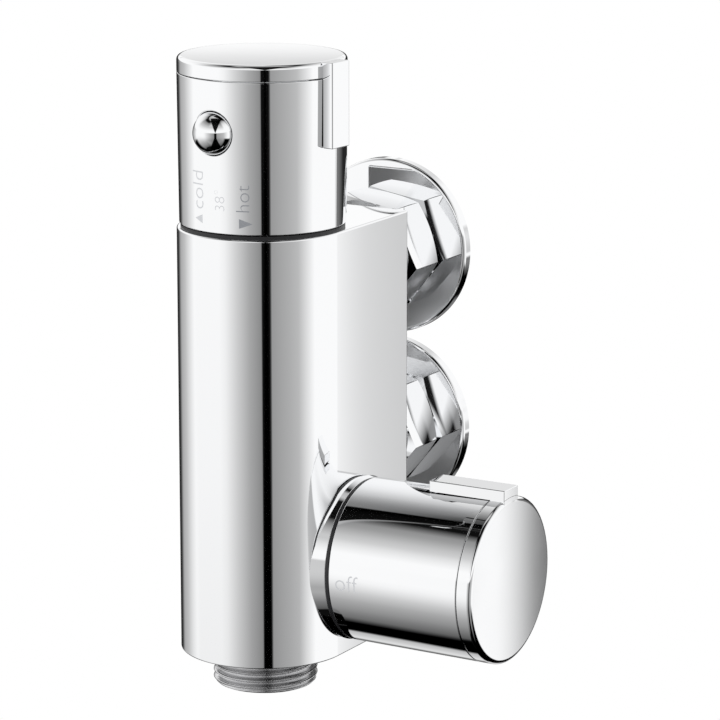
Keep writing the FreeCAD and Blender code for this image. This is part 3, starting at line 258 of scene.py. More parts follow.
# How the levels change with the height in degrees: share in front, share behind, and light added behind.
HEIGHT_LEVELS = (
    (-62.5, 0.005, 0, 0), (-61.5, 0.1, 0, 0), (-57.5, 0.17, 0, 0), (-54.5, 0.215, 0, 0.52), (-50, 0.286, 0, 0.6),
    (-45, 0.346, 0, 0.7), (-40, 0.41, 0, 0.77), (-36.5, 0.48, 0, 0.5), (-35, 0.505, 0, 0.2), (-30, 0.6, 0, 0.18),
    (-24, 0.75, 0, 0.15), (-18.5, 0.88, 1, 0), (-14.7, 0.95, 1, 0), (-9, 1, 1, 0), (17, 1, 1, 0),
    (22.6, 0.9, 1, 0), (27.8, 0.79, 0.99, 0), (32.9, 0.64, 0.955, 0), (37.9, 0.555, 0.91, 0),
    (42.7, 0.447, 0.83, 0), (47.5, 0.34, 0.705, 0), (51.5, 0.29, 0.59, 0), (55, 0.12, 0.435, 0),
    (57.5, 0.005, 0.33, 0), (60.5, 0.005, 0.2, 0), (62, 0.005, 0.07, 0), (64, 0.005, 0.005, 0),
    (67, 0.005, 0.005, 0), (72, 0.5, 0.5, 0), (90, 0.7, 0.7, 0),
)
# Where RIGHT_LEVELS holds: its ends, the middle of what it replaces and how far that reaches, in degrees.
RIGHT_ENDS, RIGHT_MIDDLE, RIGHT_REACH = (118, 125), 121.5, 2.49
# Edges of the studio's cards, each a pair from nothing to all of it. Bearings and heights are in degrees.
REAR_LEFT, LOW_LIGHT, WHITE_HEIGHT, STRIPE_BEARING = (-98, -115), (146, 152), (5, 7.7), (155, 165)
# Dimmer stripes behind: how each rises and falls with the height, and by how much it dims.
STRIPES = (((7.79, 8.03), (8.8, 8.3), 0.3), ((13.2, 14.2), (17.0, 16.0), 0.22))
# The share behind holds on the right side too: its middle and how far it reaches, in radians.
REAR_RIGHT, REAR_RIGHT_ENDS = 1.75, (0.7, 0.9)
# In parts of a direction: where the share in front is CAMERA_SHARE at least, and the dark gap's place and edges.
CAMERA_SIDE, CAMERA_SHARE = (0.35, 0.65), 0.6
GAP_MIDDLE, GAP_SLOPE, GAP_EDGE, GAP_LEVEL, GAP_ENDS = 0.09, 0.42, (-0.06, -0.03), 0.01, (0.05, -0.05)


def new_node(tree, kind, **settings):
    """Node with its settings; a name that ends in a number sets that input."""
    node = tree.nodes.new(kind)
    for name, setting in settings.items():
        if name.startswith("input_"):
            node.inputs[int(name[6:])].default_value = setting
        else:
            setattr(node, name, setting)
    return node


def joined(tree, kind, sources, output=0, **settings):
    """Output of a new node whose first inputs are linked to the sources, where one is given."""
    node = new_node(tree, kind, **settings)
    for socket, source in zip(node.inputs, sources):
        if source:
            tree.links.new(source, socket)
    return node.outputs[output]


def new_material(name, colour):
    """Material of one colour, with its node tree and its shader's inputs."""
    material = bpy.data.materials.new(name)
    material.use_nodes = True
    inputs = material.node_tree.nodes["Principled BSDF"].inputs
    inputs["Base Color"].default_value = (*colour, 1)
    return material, material.node_tree, inputs


def new_object(name, data):
    """Object in the scene that shows a mesh, a curve, a camera or a lamp."""
    item = bpy.data.objects.new(name, data)
    bpy.context.scene.collection.objects.link(item)
    return item


def finish(name, colour, metallic, rough, wander, grain, depth, coat=0.0, turned=0.0, along="Z"):
    """Finish whose roughness wanders by noise from rough - wander to rough + wander.

    grain is the size in metres of the noise, depth the height of its bump. turned is the spacing of turning
    marks along Z or another axis, or 0 for none; they deepen the bump, and in their grooves the colour is darkened as
    painted shade.
    """
    detail, noise_low, noise_high = 4.0, 0.3, 0.7
    marks_per_scale, marks_wander, marks_detail, painted_groove_shade = 20, 1.5, 2.0, 0.72
    material, tree, shader = new_material(name, colour)
    shader["Metallic"].default_value = metallic
    shader["Coat Weight"].default_value = coat
    place = new_node(tree, "ShaderNodeTexCoord").outputs["Object"]
    noise = height = joined(tree, "ShaderNodeTexNoise", [place], input_2=1 / grain, input_3=detail)
    spread = joined(tree, "ShaderNodeMapRange", [noise], input_1=noise_low, input_2=noise_high,
                    input_3=rough - wander, input_4=rough + wander)
    tree.links.new(spread, shader["Roughness"])
    if turned:
        marks = joined(tree, "ShaderNodeTexWave", [place], 1, bands_direction=along,
                       input_1=1 / turned / marks_per_scale, input_2=marks_wander, input_3=marks_detail)
        # Painted shade: the base colour is darkened in the grooves of the turning marks.
        painted_groove_tint = joined(tree, "ShaderNodeMix", [marks], 2, data_type="RGBA", input_7=(*colour, 1),
                      input_6=(*(painted_groove_shade * part for part in colour), 1))
        tree.links.new(painted_groove_tint, shader["Base Color"])
        height = joined(tree, "ShaderNodeMath", [noise, marks], operation="ADD")
    bump = new_node(tree, "ShaderNodeBump", input_0=1.0, input_1=depth)
    tree.links.new(height, bump.inputs["Height"])
    tree.links.new(bump.outputs["Normal"], shader["Normal"])
    return material


def finishes():
    """Every finish by the slot or print that takes it; made at the first call, found by name afterwards."""
    colours = bpy.context.scene.mixer_colours
    kinds = {
        "chrome_plate": ("Polished chrome plate", colours.chrome, *POLISHED),
        "machined_nickel": ("Machined nickel", colours.nickel, *MACHINED),
        "union_nickel": ("Machined nickel on the unions", colours.nickel, *MACHINED, "Y"),
        "brass": ("Turned brass", colours.brass, 1.0, 0.26, 0.06, 0.002, 2e-6, 0.0, 0.0003),
        "spring_steel": ("Spring steel", colours.steel, 1.0, 0.28, 0.06, 0.0008, 2e-6),
        "black_plastic": ("Black moulded plastic", colours.black, 0.0, 0.42, 0.06, 0.0004, 4e-6),
        "white_plastic": ("White moulded plastic", colours.white, 0.0, 0.38, 0.05, 0.0007, 3e-6),
        "rubber": ("Seal rubber", colours.rubber, 0.0, 0.6, 0.08, 0.0005, 5e-6),
        "ceramic": ("Lapped ceramic", colours.ceramic, 0.0, 0.16, 0.04, 0.0009, 1e-6, 0.3),
        "pale_print": ("Pale etched print", colours.print_pale, *ETCHED),
        "dark_print": ("Dark etched print", colours.print_dark, *ETCHED),
    }
    return {slot: bpy.data.materials.get(kind[0]) or finish(*kind) for slot, kind in kinds.items()}


def plated_casting(colour, rear):
    """Chrome plate that is polished but for the rear face towards the wall, which is left satin."""
    satin_roughness, skin = 0.32, 0.05 * MM
    material = finish("Plated casting", colour, *POLISHED)
    tree = material.node_tree
    rough = tree.nodes["Principled BSDF"].inputs["Roughness"]
    place = new_node(tree, "ShaderNodeTexCoord").outputs["Object"]
    behind = joined(tree, "ShaderNodeMath", [joined(tree, "ShaderNodeSeparateXYZ", [place], 1)],
                    operation="GREATER_THAN", input_1=rear - skin)
    satin = joined(tree, "ShaderNodeMix", [behind, None, rough.links[0].from_socket], data_type="FLOAT",
                   input_3=satin_roughness)
    tree.links.new(satin, rough)
    return material


def levels_by(tree, source, low, high, stops):
    """Colour ramp over an angle in radians, given as low and high in degrees; a stop is (degrees, levels)."""
    share = joined(tree, "ShaderNodeMapRange", [source], input_1=math.radians(low), input_2=math.radians(high))
    node = new_node(tree, "ShaderNodeValToRGB")
    elements = node.color_ramp.elements
    elements.remove(elements[-1])
    for count, (stop, *levels) in enumerate(stops):
        place = (stop - low) / (high - low)
        element = elements.new(place) if count else elements[0]
        element.position, element.color = place, (*(levels * 3)[:3], 1)
    tree.links.new(share, node.inputs["Fac"])
    return node.outputs["Color"]


def studio_world(studio):
    """World: white to the camera, soft and even to matt surfaces, a studio of cards to polished metal.

    A direction's bearing is atan2(right, towards the camera) and its height asin(up). At a low height the level
    follows the bearing, and above WHITE_HEIGHT it is white; the share of its height multiplies it. That is the
    share in front, or the share behind beyond REAR_LEFT and round REAR_RIGHT. Beyond LOW_LIGHT a light low down
    is added, and beyond STRIPE_BEARING two stripes are dimmer. In front, a dark gap widens upwards and
    downwards: it lies where |right - GAP_MIDDLE| - GAP_SLOPE |up| is below GAP_EDGE.
    """
    world = bpy.data.worlds.new("studio")
    world.use_nodes = True
    tree = world.node_tree
    turn = studio.bearing

    def by(operation, *sources, **settings):
        """Result of one sum of the sources."""
        return joined(tree, "ShaderNodeMath", sources, operation=operation, **settings)

    def between(source, low, high, first=0.0, last=1.0):
        """First below low, last above high, and straight between them."""
        return joined(tree, "ShaderNodeMapRange", [source], input_1=low, input_2=high, input_3=first, input_4=last)

    def angled(source, ends):
        """0 at the first of two angles in degrees, 1 at the second."""
        return between(source, *(math.radians(end) for end in ends))

    def blend(share, first, last, **settings):
        """First where the share is 0, last where it is 1."""
        return joined(tree, "ShaderNodeMix", [share, None, first, last], data_type="FLOAT", **settings)

    way = new_node(tree, "ShaderNodeTexCoord").outputs["Generated"]
    right, toward = (joined(tree, "ShaderNodeVectorMath", [way], 1, operation="DOT_PRODUCT", input_1=along)
                     for along in ((math.cos(turn), math.sin(turn), 0), (math.sin(turn), -math.cos(turn), 0)))
    up = joined(tree, "ShaderNodeSeparateXYZ", [way], 2)
    bearing, height = by("ARCTAN2", right, toward), by("ARCSINE", up)
    side = levels_by(tree, bearing, -180, 180, SIDE_LEVELS)
    fine = by("COMPARE", bearing, input_1=math.radians(RIGHT_MIDDLE), input_2=math.radians(RIGHT_REACH))
    side = blend(fine, side, levels_by(tree, bearing, *RIGHT_ENDS, RIGHT_LEVELS))
    shares = new_node(tree, "ShaderNodeSeparateColor")
    tree.links.new(levels_by(tree, height, -90, 90, HEIGHT_LEVELS), shares.inputs[0])
    ahead, behind, low_light = shares.outputs
    ahead = by("MAXIMUM", ahead, between(toward, *CAMERA_SIDE, 0.0, CAMERA_SHARE))
    off_right, either_way = by("ABSOLUTE", by("SUBTRACT", bearing, input_1=REAR_RIGHT)), by("ABSOLUTE", bearing)
    aback = by("MAXIMUM", angled(bearing, REAR_LEFT), between(off_right, *REAR_RIGHT_ENDS, 1.0, 0.0))
    share = blend(aback, ahead, behind)
    added = by("MULTIPLY", angled(either_way, LOW_LIGHT), low_light)
    level = blend(angled(height, WHITE_HEIGHT), side, None, input_3=1.0)
    stripes = [by("MULTIPLY", by("MINIMUM", angled(height, rise), angled(height, fall)), input_1=most)
               for rise, fall, most in STRIPES]
    dim = by("MULTIPLY", by("MAXIMUM", *stripes), angled(either_way, STRIPE_BEARING))
    level = by("MULTIPLY", level, by("SUBTRACT", None, dim, input_0=1.0))
    aside = by("ABSOLUTE", by("SUBTRACT", right, input_1=GAP_MIDDLE))
    gap = by("SUBTRACT", aside, by("MULTIPLY", by("ABSOLUTE", up), input_1=GAP_SLOPE))
    lit = by("MAXIMUM", between(gap, *GAP_EDGE, GAP_LEVEL), between(toward, *GAP_ENDS))
    polished = by("MULTIPLY_ADD", by("MULTIPLY", level, lit), share, added)
    rays = new_node(tree, "ShaderNodeLightPath").outputs
    seen = by("MAXIMUM", rays["Is Camera Ray"], rays["Is Transmission Ray"])
    even = blend(seen, None, None, input_2=studio.room, input_3=1.0)
    shade = tree.nodes["Background"]
    shade.inputs["Color"].default_value = (1, 1, 1, 1)
    tree.links.new(blend(rays["Is Glossy Ray"], even, polished), shade.inputs["Strength"])
    bpy.context.scene.world = world


def floor(studio):
    """Round floor: rings of radius (row / rows) about the mixer, pale, fading away towards its rim."""
    radius, noise_scale, fade_start, fade_end = studio.floor_radius / MM, 4.0, 0.45, 0.98
    share = np.linspace(0, 1, 25)[1:, None, None]
    rings = np.insert(share * ring(1.0, 96)[0], 2, 0.0, axis=2)
    middle = (0, BODY_LOW.y / MM, (OUTLET_LOW.z - studio.floor_drop) / MM)
    up = np.broadcast_to((0.0, 0.0, 1.0), rings.shape)
    patches = [grid(radius * rings, up, closed=True), filled(radius * rings[0, :, :2], 0.0, 1)]
    item = new_object("floor", made_mesh("floor", all_placed(patches, middle)))
    item.visible_glossy = False
    material, tree, shader = new_material("Pale floor", studio.floor)
    place = new_node(tree, "ShaderNodeTexCoord").outputs["Object"]
    noise = joined(tree, "ShaderNodeTexNoise", [place], input_2=noise_scale)
    tree.links.new(joined(tree, "ShaderNodeMapRange", [noise], input_3=0.7, input_4=0.9), shader["Roughness"])
    distance = joined(tree, "ShaderNodeVectorMath", [place], 1, operation="DISTANCE",
                      input_1=[c * MM for c in middle])
    fade = joined(tree, "ShaderNodeMapRange", [distance], interpolation_type="SMOOTHSTEP", input_3=1.0,
                  input_4=0.0, input_1=fade_start * studio.floor_radius, input_2=fade_end * studio.floor_radius)
    tree.links.new(fade, shader["Alpha"])
    item.data.materials.append(material)
    return item


# A patch is (points, faces, corner normals). A face indexes four points; a triangle repeats its last one.
# Outlines and profiles run with the solid on their left, so a normal lies on the right of travel.


def route(corners, closed=False, steps_per_turn=48):
    """Straight edges through corners (x, y[, radius]), with an arc of that radius in each rounded corner.

    A corner that bends by t starts its arc radius * tan(t / 2) early. The arc's points are one radius from a
    centre on the inner side. Every edge keeps the exact normal at its start and at its end.
    """
    place = np.array([corner[:2] for corner in corners], float)
    ahead = np.roll(place, -1, axis=0) - place
    ahead /= np.maximum(np.linalg.norm(ahead, axis=1), 1e-9)[:, None]
    right = np.stack([ahead[:, 1], -ahead[:, 0]], axis=1)
    points, begin, end = [], [], []
    for n, corner in enumerate(corners):
        radius = corner[2] if len(corner) > 2 else 0.0
        before, after = right[n - 1], right[n]
        if radius:
            first = math.atan2(before[1], before[0])
            bend = (math.atan2(after[1], after[0]) - first + math.pi) % (2 * math.pi) - math.pi
            steps = max(4, math.ceil(abs(bend) / (2 * math.pi) * steps_per_turn))
            swing = first + np.linspace(0, bend, steps + 1)
            run = np.stack([np.cos(swing), np.sin(swing)], axis=1)
            start = place[n] - ahead[n - 1] * radius * abs(math.tan(bend / 2))
            points.append(start + math.copysign(radius, bend) * (run - before))
            begin.append(run[:-1])
            end.append(run[1:])
        else:
            points.append(place[n][None])
        if closed or n < len(corners) - 1:
            begin.append(after[None])
            end.append(after[None])
    return np.concatenate(points), np.concatenate(begin), np.concatenate(end), closed


def ring(radius=0.0, steps=160):
    """Circle about the origin: radius times (cos, sin). Each edge's end normals point straight out."""
    swing = np.linspace(0, 2 * math.pi, steps + 1)
    out = np.stack([np.cos(swing), np.sin(swing)], axis=1)
    return radius * out[:-1], out[:-1], out[1:], True


def moved_out(outline, distance):
    """Points of a closed outline moved out: each along the sum of its two normals, over one plus their dot."""
    points, begin, end, _ = outline
    before = np.roll(end, 1, axis=0)
    way = (before + begin) / (1 + np.sum(before * begin, axis=1))[:, None]
    return points + distance * way


def cells(rows, columns, up_closed, round_closed):
    """Faces of a net of points, four corners each; closed joins the last row or column to the first."""
    row, column = np.meshgrid(np.arange(rows - (not up_closed)), np.arange(columns - (not round_closed)),
                              indexing="ij")
    above, beside = (row + 1) % rows, (column + 1) % columns
    return np.stack([row * columns + column, row * columns + beside, above * columns + beside,
                     above * columns + column], axis=-1).reshape(-1, 4)


def carried(outline, profile):
    """Profile (outward, height) carried round a closed outline.

    A point is the outline moved out by the profile's first number, at the height of its second. A corner's
    normal is the outline's normal times the profile normal's first number, plus its second upright.
    """
    steps, begin, end, closed = profile
    rows, columns, edges = len(steps), len(outline[0]), len(steps) - (not closed)
    still = moved_out(outline, 0.0)
    way = moved_out(outline, 1.0) - still
    flat = still[None] + steps[:, :1][:, None] * way[None]
    heights = np.broadcast_to(steps[:, 1][:, None, None], (rows, columns, 1))
    normals = np.empty((edges, columns, 4, 3))
    uprights, rounds = (begin, begin, end, end), (outline[1], outline[2], outline[2], outline[1])
    for corner, (upright, around) in enumerate(zip(uprights, rounds)):
        normals[:, :, corner, :2] = upright[:edges, 0][:, None, None] * around[None]
        normals[:, :, corner, 2] = upright[:edges, 1][:, None]
    points = np.concatenate([flat, heights], axis=2).reshape(-1, 3)
    return points, cells(rows, columns, closed, True), normals.reshape(-1, 4, 3)


def turned(corners, closed=True, steps=160):
    """Surface of revolution about Z: each profile point (radius, height) goes round in a circle."""
    return carried(ring(0.0, steps), route(corners, closed))


def grid(points, normals, closed=False):
    """Patch from rows of points with a normal each; closed joins the last column to the first."""
    faces = cells(*points.shape[:2], False, closed)
    return points.reshape(-1, 3), faces, normals.reshape(-1, 3)[faces]


def strip(first, second, normal):
    """Closed band between two rings of points that have the same normals."""
    return grid(np.stack([first, second]), np.stack([normal, normal]), closed=True)


def filled(outline, height, facing):
    """Flat face at a height, a fan of triangles from the middle of an outline."""
    count = len(outline)
    points = np.column_stack([np.vstack([outline, outline.mean(axis=0)]), np.full(count + 1, height)])
    step = np.arange(count)
    faces = np.stack([step, (step + 1) % count, np.full(count, count), np.full(count, count)], axis=1)
    return points, faces, np.broadcast_to((0.0, 0.0, facing), (count, 4, 3))


def pierced(hole, outline, level, facing, axis=2):
    """Flat face at a level of an axis, between a round hole and the outline round it.

    Both go round by their bearing from the hole's centre, and triangles are zipped between them in that order.
    The outline's next point takes over where both it and the last one still see the hole's edge, at the
    share of the way that acos(radius / distance) of each gives.
    """
    middle = hole.mean(axis=0)
    near, far = hole - middle, outline - middle
    near_bearing, far_bearing = (np.arctan2(spot[:, 1], spot[:, 0]) for spot in (near, far))
    order, far_order = np.argsort(near_bearing), np.argsort(far_bearing)
    hole, near_bearing = hole[order], near_bearing[order]
    outline, far_bearing, far = outline[far_order], far_bearing[far_order], far[far_order]
    sight = np.arccos(np.clip(np.linalg.norm(near[0]) / np.linalg.norm(far, axis=1), 0, 0.9999))
    last, last_sight = np.roll(far_bearing, 1), np.roll(sight, 1)
    last[0] -= 2 * math.pi
    change = last + (far_bearing - last) * last_sight / (last_sight + sight)
    low = near_bearing[0]
    change = low + (change - low) % (2 * math.pi)
    turn = np.argmin(change)
    outline, change = np.roll(outline, -turn, axis=0), np.roll(change, -turn)
    count, more = len(hole), len(outline)
    inner_step = np.argsort(np.concatenate([near_bearing, change]), kind="stable") < count
    inner = (np.cumsum(inner_step) - 1) % count
    outer = count + (np.cumsum(~inner_step) - 1) % more
    before = np.where(inner_step, (inner - 1) % count, count + (outer - count - 1) % more)
    after, other = np.where(inner_step, inner, outer), np.where(inner_step, outer, inner)
    points = np.insert(np.concatenate([hole, outline]), axis, level, axis=1)
    normals = np.broadcast_to(facing * np.eye(3)[axis], (count + more, 4, 3))
    return points, np.stack([before, after, other, other], axis=1), normals


def placed(patch, origin=(0, 0, 0), axes=UPRIGHT):
    """Patch with its own x, y and z laid along three directions from an origin."""
    points, faces, normals = patch
    axes = np.array(axes, float)
    return points @ axes + np.array(origin, float), faces, normals @ axes


def all_placed(patches, *place):
    """Patches laid down together, each as placed does it."""
    return [placed(patch, *place) for patch in patches]


def bore(radius, steps, around=160):
    """Bore whose opening, at height 0, has the radius; its steps (radius, height) lead to a flat floor."""
    return turned([(radius, 0), (radius, steps[0][1]), *steps], False, around)


def rectangle(low, high, rounding):
    """Outline of a rectangle with rounded corners."""
    return route([(high[0], low[1], rounding), (high[0], high[1], rounding), (low[0], high[1], rounding),
                  (low[0], low[1], rounding)], closed=True, steps_per_turn=16)


def walled(outline, low, high, inset, rounding, steps_per_turn=16):
    """Wall of an outline carried up between rounded edges, and the smaller outline that its ends lead in to."""
    side = route([(-inset, low), (0, low, rounding), (0, high, rounding), (-inset, high)],
                 steps_per_turn=steps_per_turn)
    return carried(outline, side), moved_out(outline, -inset)


def box(low, high, rounding=0.15):
    """Closed block with rounded edges, a rectangle carried up with both ends filled."""
    wall, edge = walled(rectangle(low, high, rounding), low[2], high[2], 1.01 * rounding, rounding)
    return [wall, filled(edge, low[2], -1), filled(edge, high[2], 1)]


def made_mesh(name, patches):
    """Mesh of all patches in metres. Points closer than a tenth of a micron become one, every face points the
    way its normals do, and each corner keeps its own normal."""
    same_spot = 1e-7
    offsets = np.cumsum([0] + [len(patch[0]) for patch in patches[:-1]])
    points = np.concatenate([patch[0] for patch in patches]) * MM
    faces = np.concatenate([patch[1] + start for patch, start in zip(patches, offsets)])
    normals = np.concatenate([patch[2] for patch in patches]).astype(float)
    _, first, back = np.unique(np.round(points / same_spot).astype(np.int64), axis=0, return_index=True,
                               return_inverse=True)
    points, faces = points[first], back.reshape(-1)[faces]
    spots = points[faces]
    facing = np.cross(spots[:, 2] - spots[:, 0], spots[:, 3] - spots[:, 1])
    wrong = np.sum(facing * normals.sum(axis=1), axis=1) < 0
    faces[wrong], normals[wrong] = faces[wrong, ::-1], normals[wrong, ::-1]
    keep = faces != np.roll(faces, 1, axis=1)
    sides = keep.sum(axis=1)
    three, four = sides == 3, sides == 4
    triangles = faces[three][keep[three]].reshape(-1, 3)
    mesh = bpy.data.meshes.new(name)
    mesh.from_pydata(points.tolist(), [], triangles.tolist() + faces[four].tolist())
    corners = np.concatenate([normals[three][keep[three]], normals[four].reshape(-1, 3)])
    corners /= np.linalg.norm(corners, axis=1)[:, None]
    mesh.normals_split_custom_set(corners.tolist())
    return mesh


def piece(name, patches, slot, body, *nodes, ends=None):
    """Object made of the patches, on its body, with its slot's finish, in place of the nodes.

    With ends, two points in metres, body is a pair: the piece is then not put on a body but keeps its place baked
    into its mesh; the points themselves are not used.
    """
    item = new_object(name, made_mesh(name, patches))
    item.data.materials.append(finishes()[slot])
    if ends:
        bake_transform(item)
    else:
        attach(item, body)
    if nodes:
        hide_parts(*nodes)
    return item


def in_mm(scene, *groups):
    """The sizes of some groups as plain numbers, lengths in millimetres."""
    found = []
    for group in groups:
        sizes = getattr(scene, f"mixer_{group}")
        plain = {prop.identifier: getattr(sizes, prop.identifier) * (1000 if prop.unit == "LENGTH" else 1)
                 for prop in sizes.bl_rna.properties if prop.type == "FLOAT" and not prop.is_array}
        found.append(SimpleNamespace(**plain))
    return found


def valve_top(body, knob=None):
    """Origin and directions on the body's top face, turned as the temperature knob where one is given."""
    swing = knob.turn if knob else 0.0
    along = (math.cos(swing), math.sin(swing), 0)
    return (0, body.axis, body.top), (along, (-along[1], along[0], 0), (0, 0, 1))


def valve_side(body):
    """Origin and directions on the flow knob's mounting face; its x points up and its z to the right."""
    return (body.radius, body.flow_axis, -body.flow_drop), TO_THE_RIGHT


def inlet_place(drop):
    """Origin and directions on the wall at an inlet; its z points into the wall."""
    return (0, 0, -drop), TO_THE_WALL


def casting(body):
    """Casting: its section carried up between rounded edges, with every opening pierced and bored.

    The large flat cells on the right and at the rear are left out and filled again round their holes. Each
    bore is a profile turned about the hole's axis, down to a flat floor. The flow knob's boss is a turned
    ring that starts inside the casting, so its wall meets the round front in a curve.
    """
    radius, depth = body.radius, body.rear - body.axis
    outline = route([(radius, -radius, radius), (radius, depth, body.corner), (-radius, depth, body.corner),
                     (-radius, -radius, radius)], closed=True, steps_per_turn=240)
    middle, inset, large, clear = -body.spacing / 2, -0.55, 10, 0.05
    points, faces, normals = carried(outline, route([
        (inset, body.bottom), (0, body.bottom, body.foot), (0, middle), (0, body.top, body.rim), (inset, body.top)]))
    span, mean = np.ptp(points[faces], axis=1), points[faces].mean(axis=1)
    panel = (span[:, 2] > large) & (span[:, 0] + span[:, 1] > large) & (mean[:, 0] > -large)
    edge, circle = moved_out(outline, inset), ring(1.0)[0]
    low, high, side, half = body.bottom + body.foot, body.top - body.rim, depth - body.corner, radius - body.corner
    flow = np.array([body.flow_axis - body.axis, -body.flow_drop])
    right = np.array([(0, low), (side, low), (side, middle), (side, high), (0, high), (0, middle)])
    patches = [
        (points, faces[~panel], normals[~panel]),
        pierced(body.recess * circle, edge, body.top, 1),
        pierced(body.socket * circle, edge, body.bottom, -1),
        pierced(flow + body.flow_recess * circle, right, radius, 1, axis=0),
    ]
    for drop, bottom, top in ((0, middle, high), (body.spacing, low, middle)):
        rear = np.array([(-half, bottom), (half, bottom), (half, top), (-half, top)])
        patches.append(pierced(body.port * circle - (0, drop), rear, depth, 1, axis=1))
        patches.append(placed(bore(body.port, PORT_BORE), (0, depth, -drop), TO_THE_WALL))
    patches.append(placed(bore(body.recess, CARTRIDGE_BORE), (0, 0, body.top)))
    patches.append(placed(turned([*OUTLET_BORE, (body.socket, OUTLET_BORE[-1][1]), (body.socket, 0)], False),
                          (0, 0, body.bottom)))
    inner, root = body.flow_recess + clear, -radius / 4
    wide = math.tan(body.boss_draft) * (body.boss_rise - root)
    boss = turned([(inner, root), (body.boss_radius + wide, root), (body.boss_radius, body.boss_rise, body.boss_edge),
                   (inner, body.boss_rise)], steps=240)
    patches += all_placed([bore(body.flow_recess, HEADWORK_BORE, 240), boss], (radius, *flow), TO_THE_RIGHT)
    return all_placed(patches, (0, body.axis, 0))


def button_window(knob):
    """Sleeve wall with the button's round hole, seen along its own Y.

    The wall is a ring of cells. The cells round the hole are left out. In their place a net runs from the
    window's rim to the hole's edge in straight steps of x and z, with y on the wall's circle. A quarter round
    leads from the edge into the hole: radius hole + e (1 - sin a), depth e (1 - cos a).
    """
    hole, height, e = knob.button_hole, knob.button_height, knob.button_edge
    reach, degrees, count, rings = 8.25, 22.5, 30, 8
    slope = knob.taper / (knob.seam - knob.gap)
    rows = height + np.linspace(-reach, reach, count + 1)
    outer = knob.radius - slope * (knob.seam - rows)
    wall = route([(knob.bore, knob.gap), (knob.radius - knob.taper, knob.gap, knob.edge),
                  *zip(outer, rows), (knob.radius, knob.seam, knob.edge), (knob.bore, knob.seam),
                  *((knob.bore, z) for z in rows[::-1])], closed=True)
    points, faces, normals = carried(ring(0.0, 240), wall)
    spots = points[faces]
    bearing = np.abs(np.arctan2(spots[..., 0], -spots[..., 1])).max(axis=1)
    away = np.abs(spots[..., 2] - height).max(axis=1)
    keep = (bearing > 1.005 * math.radians(degrees)) | (away > 1.005 * reach)
    patches = [(points, faces[keep], normals[keep])]
    columns = np.radians(np.linspace(-degrees, degrees, count + 1))
    rim = [np.concatenate([columns, np.full(count, columns[-1]), columns[-2::-1], np.full(count - 1, columns[0])]),
           np.concatenate([np.full(count + 1, rows[0]), rows[1:], np.full(count, rows[-1]), rows[-2:0:-1]])]

    def on_wall(x, z, inner):
        """Point and outward normal on the outer or inner wall in front of x and z."""
        circle = np.full_like(x, knob.bore) if inner else knob.radius - slope * (knob.seam - z)
        y = -np.sqrt(circle ** 2 - x ** 2)
        facing = np.stack([x, y, np.zeros_like(x) if inner else -slope * circle], axis=-1)
        return np.stack([x, y, z], axis=-1), -facing if inner else facing

    share = np.linspace(1, 0, rings)[:, None]
    rim_circle = knob.radius - slope * (knob.seam - rim[1])
    round_hole = np.arctan2(rim[1] - height, rim_circle * np.sin(rim[0]))
    for inner, radius, circle in ((False, hole + e, rim_circle), (True, hole, knob.bore)):
        x = share * circle * np.sin(rim[0]) + (1 - share) * radius * np.cos(round_hole)
        z = share * rim[1] + (1 - share) * (height + radius * np.sin(round_hole))
        patches.append(grid(*on_wall(x, z, inner), closed=True))
    edge, inner_edge = (patch[0].reshape(rings, -1, 3)[-1] for patch in patches[1:])
    edge_normal = on_wall(edge[:, 0], edge[:, 2], False)[1]
    edge_normal = edge_normal / np.linalg.norm(edge_normal, axis=1)[:, None]
    bend = np.linspace(0, math.pi / 2, 7)[:, None]
    across = np.stack([np.cos(round_hole), np.zeros_like(round_hole), np.sin(round_hole)], axis=-1)
    reach = hole + e * (1 - np.sin(bend))
    quarter = np.stack([reach * across[:, 0], edge[:, 1] + e * (1 - np.cos(bend)),
                        height + reach * across[:, 2]], axis=-1)
    facing = np.cos(bend)[..., None] * edge_normal - np.sin(bend)[..., None] * across
    return [*patches, grid(quarter, facing, closed=True), strip(quarter[-1], inner_edge, -across)]


def notched_web():
    """Web under the button: a disc with a notch for the button's arm, on a hub with the spindle's seat."""
    swing, notch, notch_end = np.radians(np.linspace(-78, 258, 141)), 2.4, -11.8
    outline = route([*zip(WEB_RADIUS * np.cos(swing), WEB_RADIUS * np.sin(swing)), (-notch, notch_end),
                     (notch, notch_end)], closed=True)
    edge, circle = outline[0], ring(1.0)[0]
    return [carried(outline, route([(0, WEB_LOW), (0, WEB_HIGH)])),
            pierced(SEAT_RADIUS * circle, edge, WEB_HIGH, 1), pierced(HUB_RADIUS * circle, edge, WEB_LOW, -1),
            turned(HUB, False)]


def guide_block(knob):
    """Block that guides the button's rod: a rounded outline carried along the rod, with the rod's hole."""
    e, rod, low, high, half, foot, top, height = 0.15, 2.25, 5.5, 9.0, 5, 14.5, 30.6, knob.button_height
    wall, edge = walled(rectangle((-half, foot), (half, top), e), low, high, e, 0.9 * e)
    hole = rod * ring(1.0, 64)[0] + (0, height)
    patches = [wall, pierced(hole, edge, low, -1), pierced(hole, edge, high, 1),
               placed(turned([(rod, high), (rod, low)], False, 64), (0, height, 0))]
    return all_placed(patches, (0, 0, 0), TO_THE_USER)


def plain_sleeve(knob, foot):
    """Sleeve as a turned wall from its foot up, with the web and hub that carry the spindle."""
    return [
        turned([(knob.bore, foot), (knob.radius - knob.taper, foot, knob.edge),
                (knob.radius, knob.seam, knob.edge), (knob.bore, knob.seam)], steps=240),
        turned([(WEB_RADIUS, WEB_LOW), (WEB_RADIUS, WEB_HIGH), *HUB]),
    ]


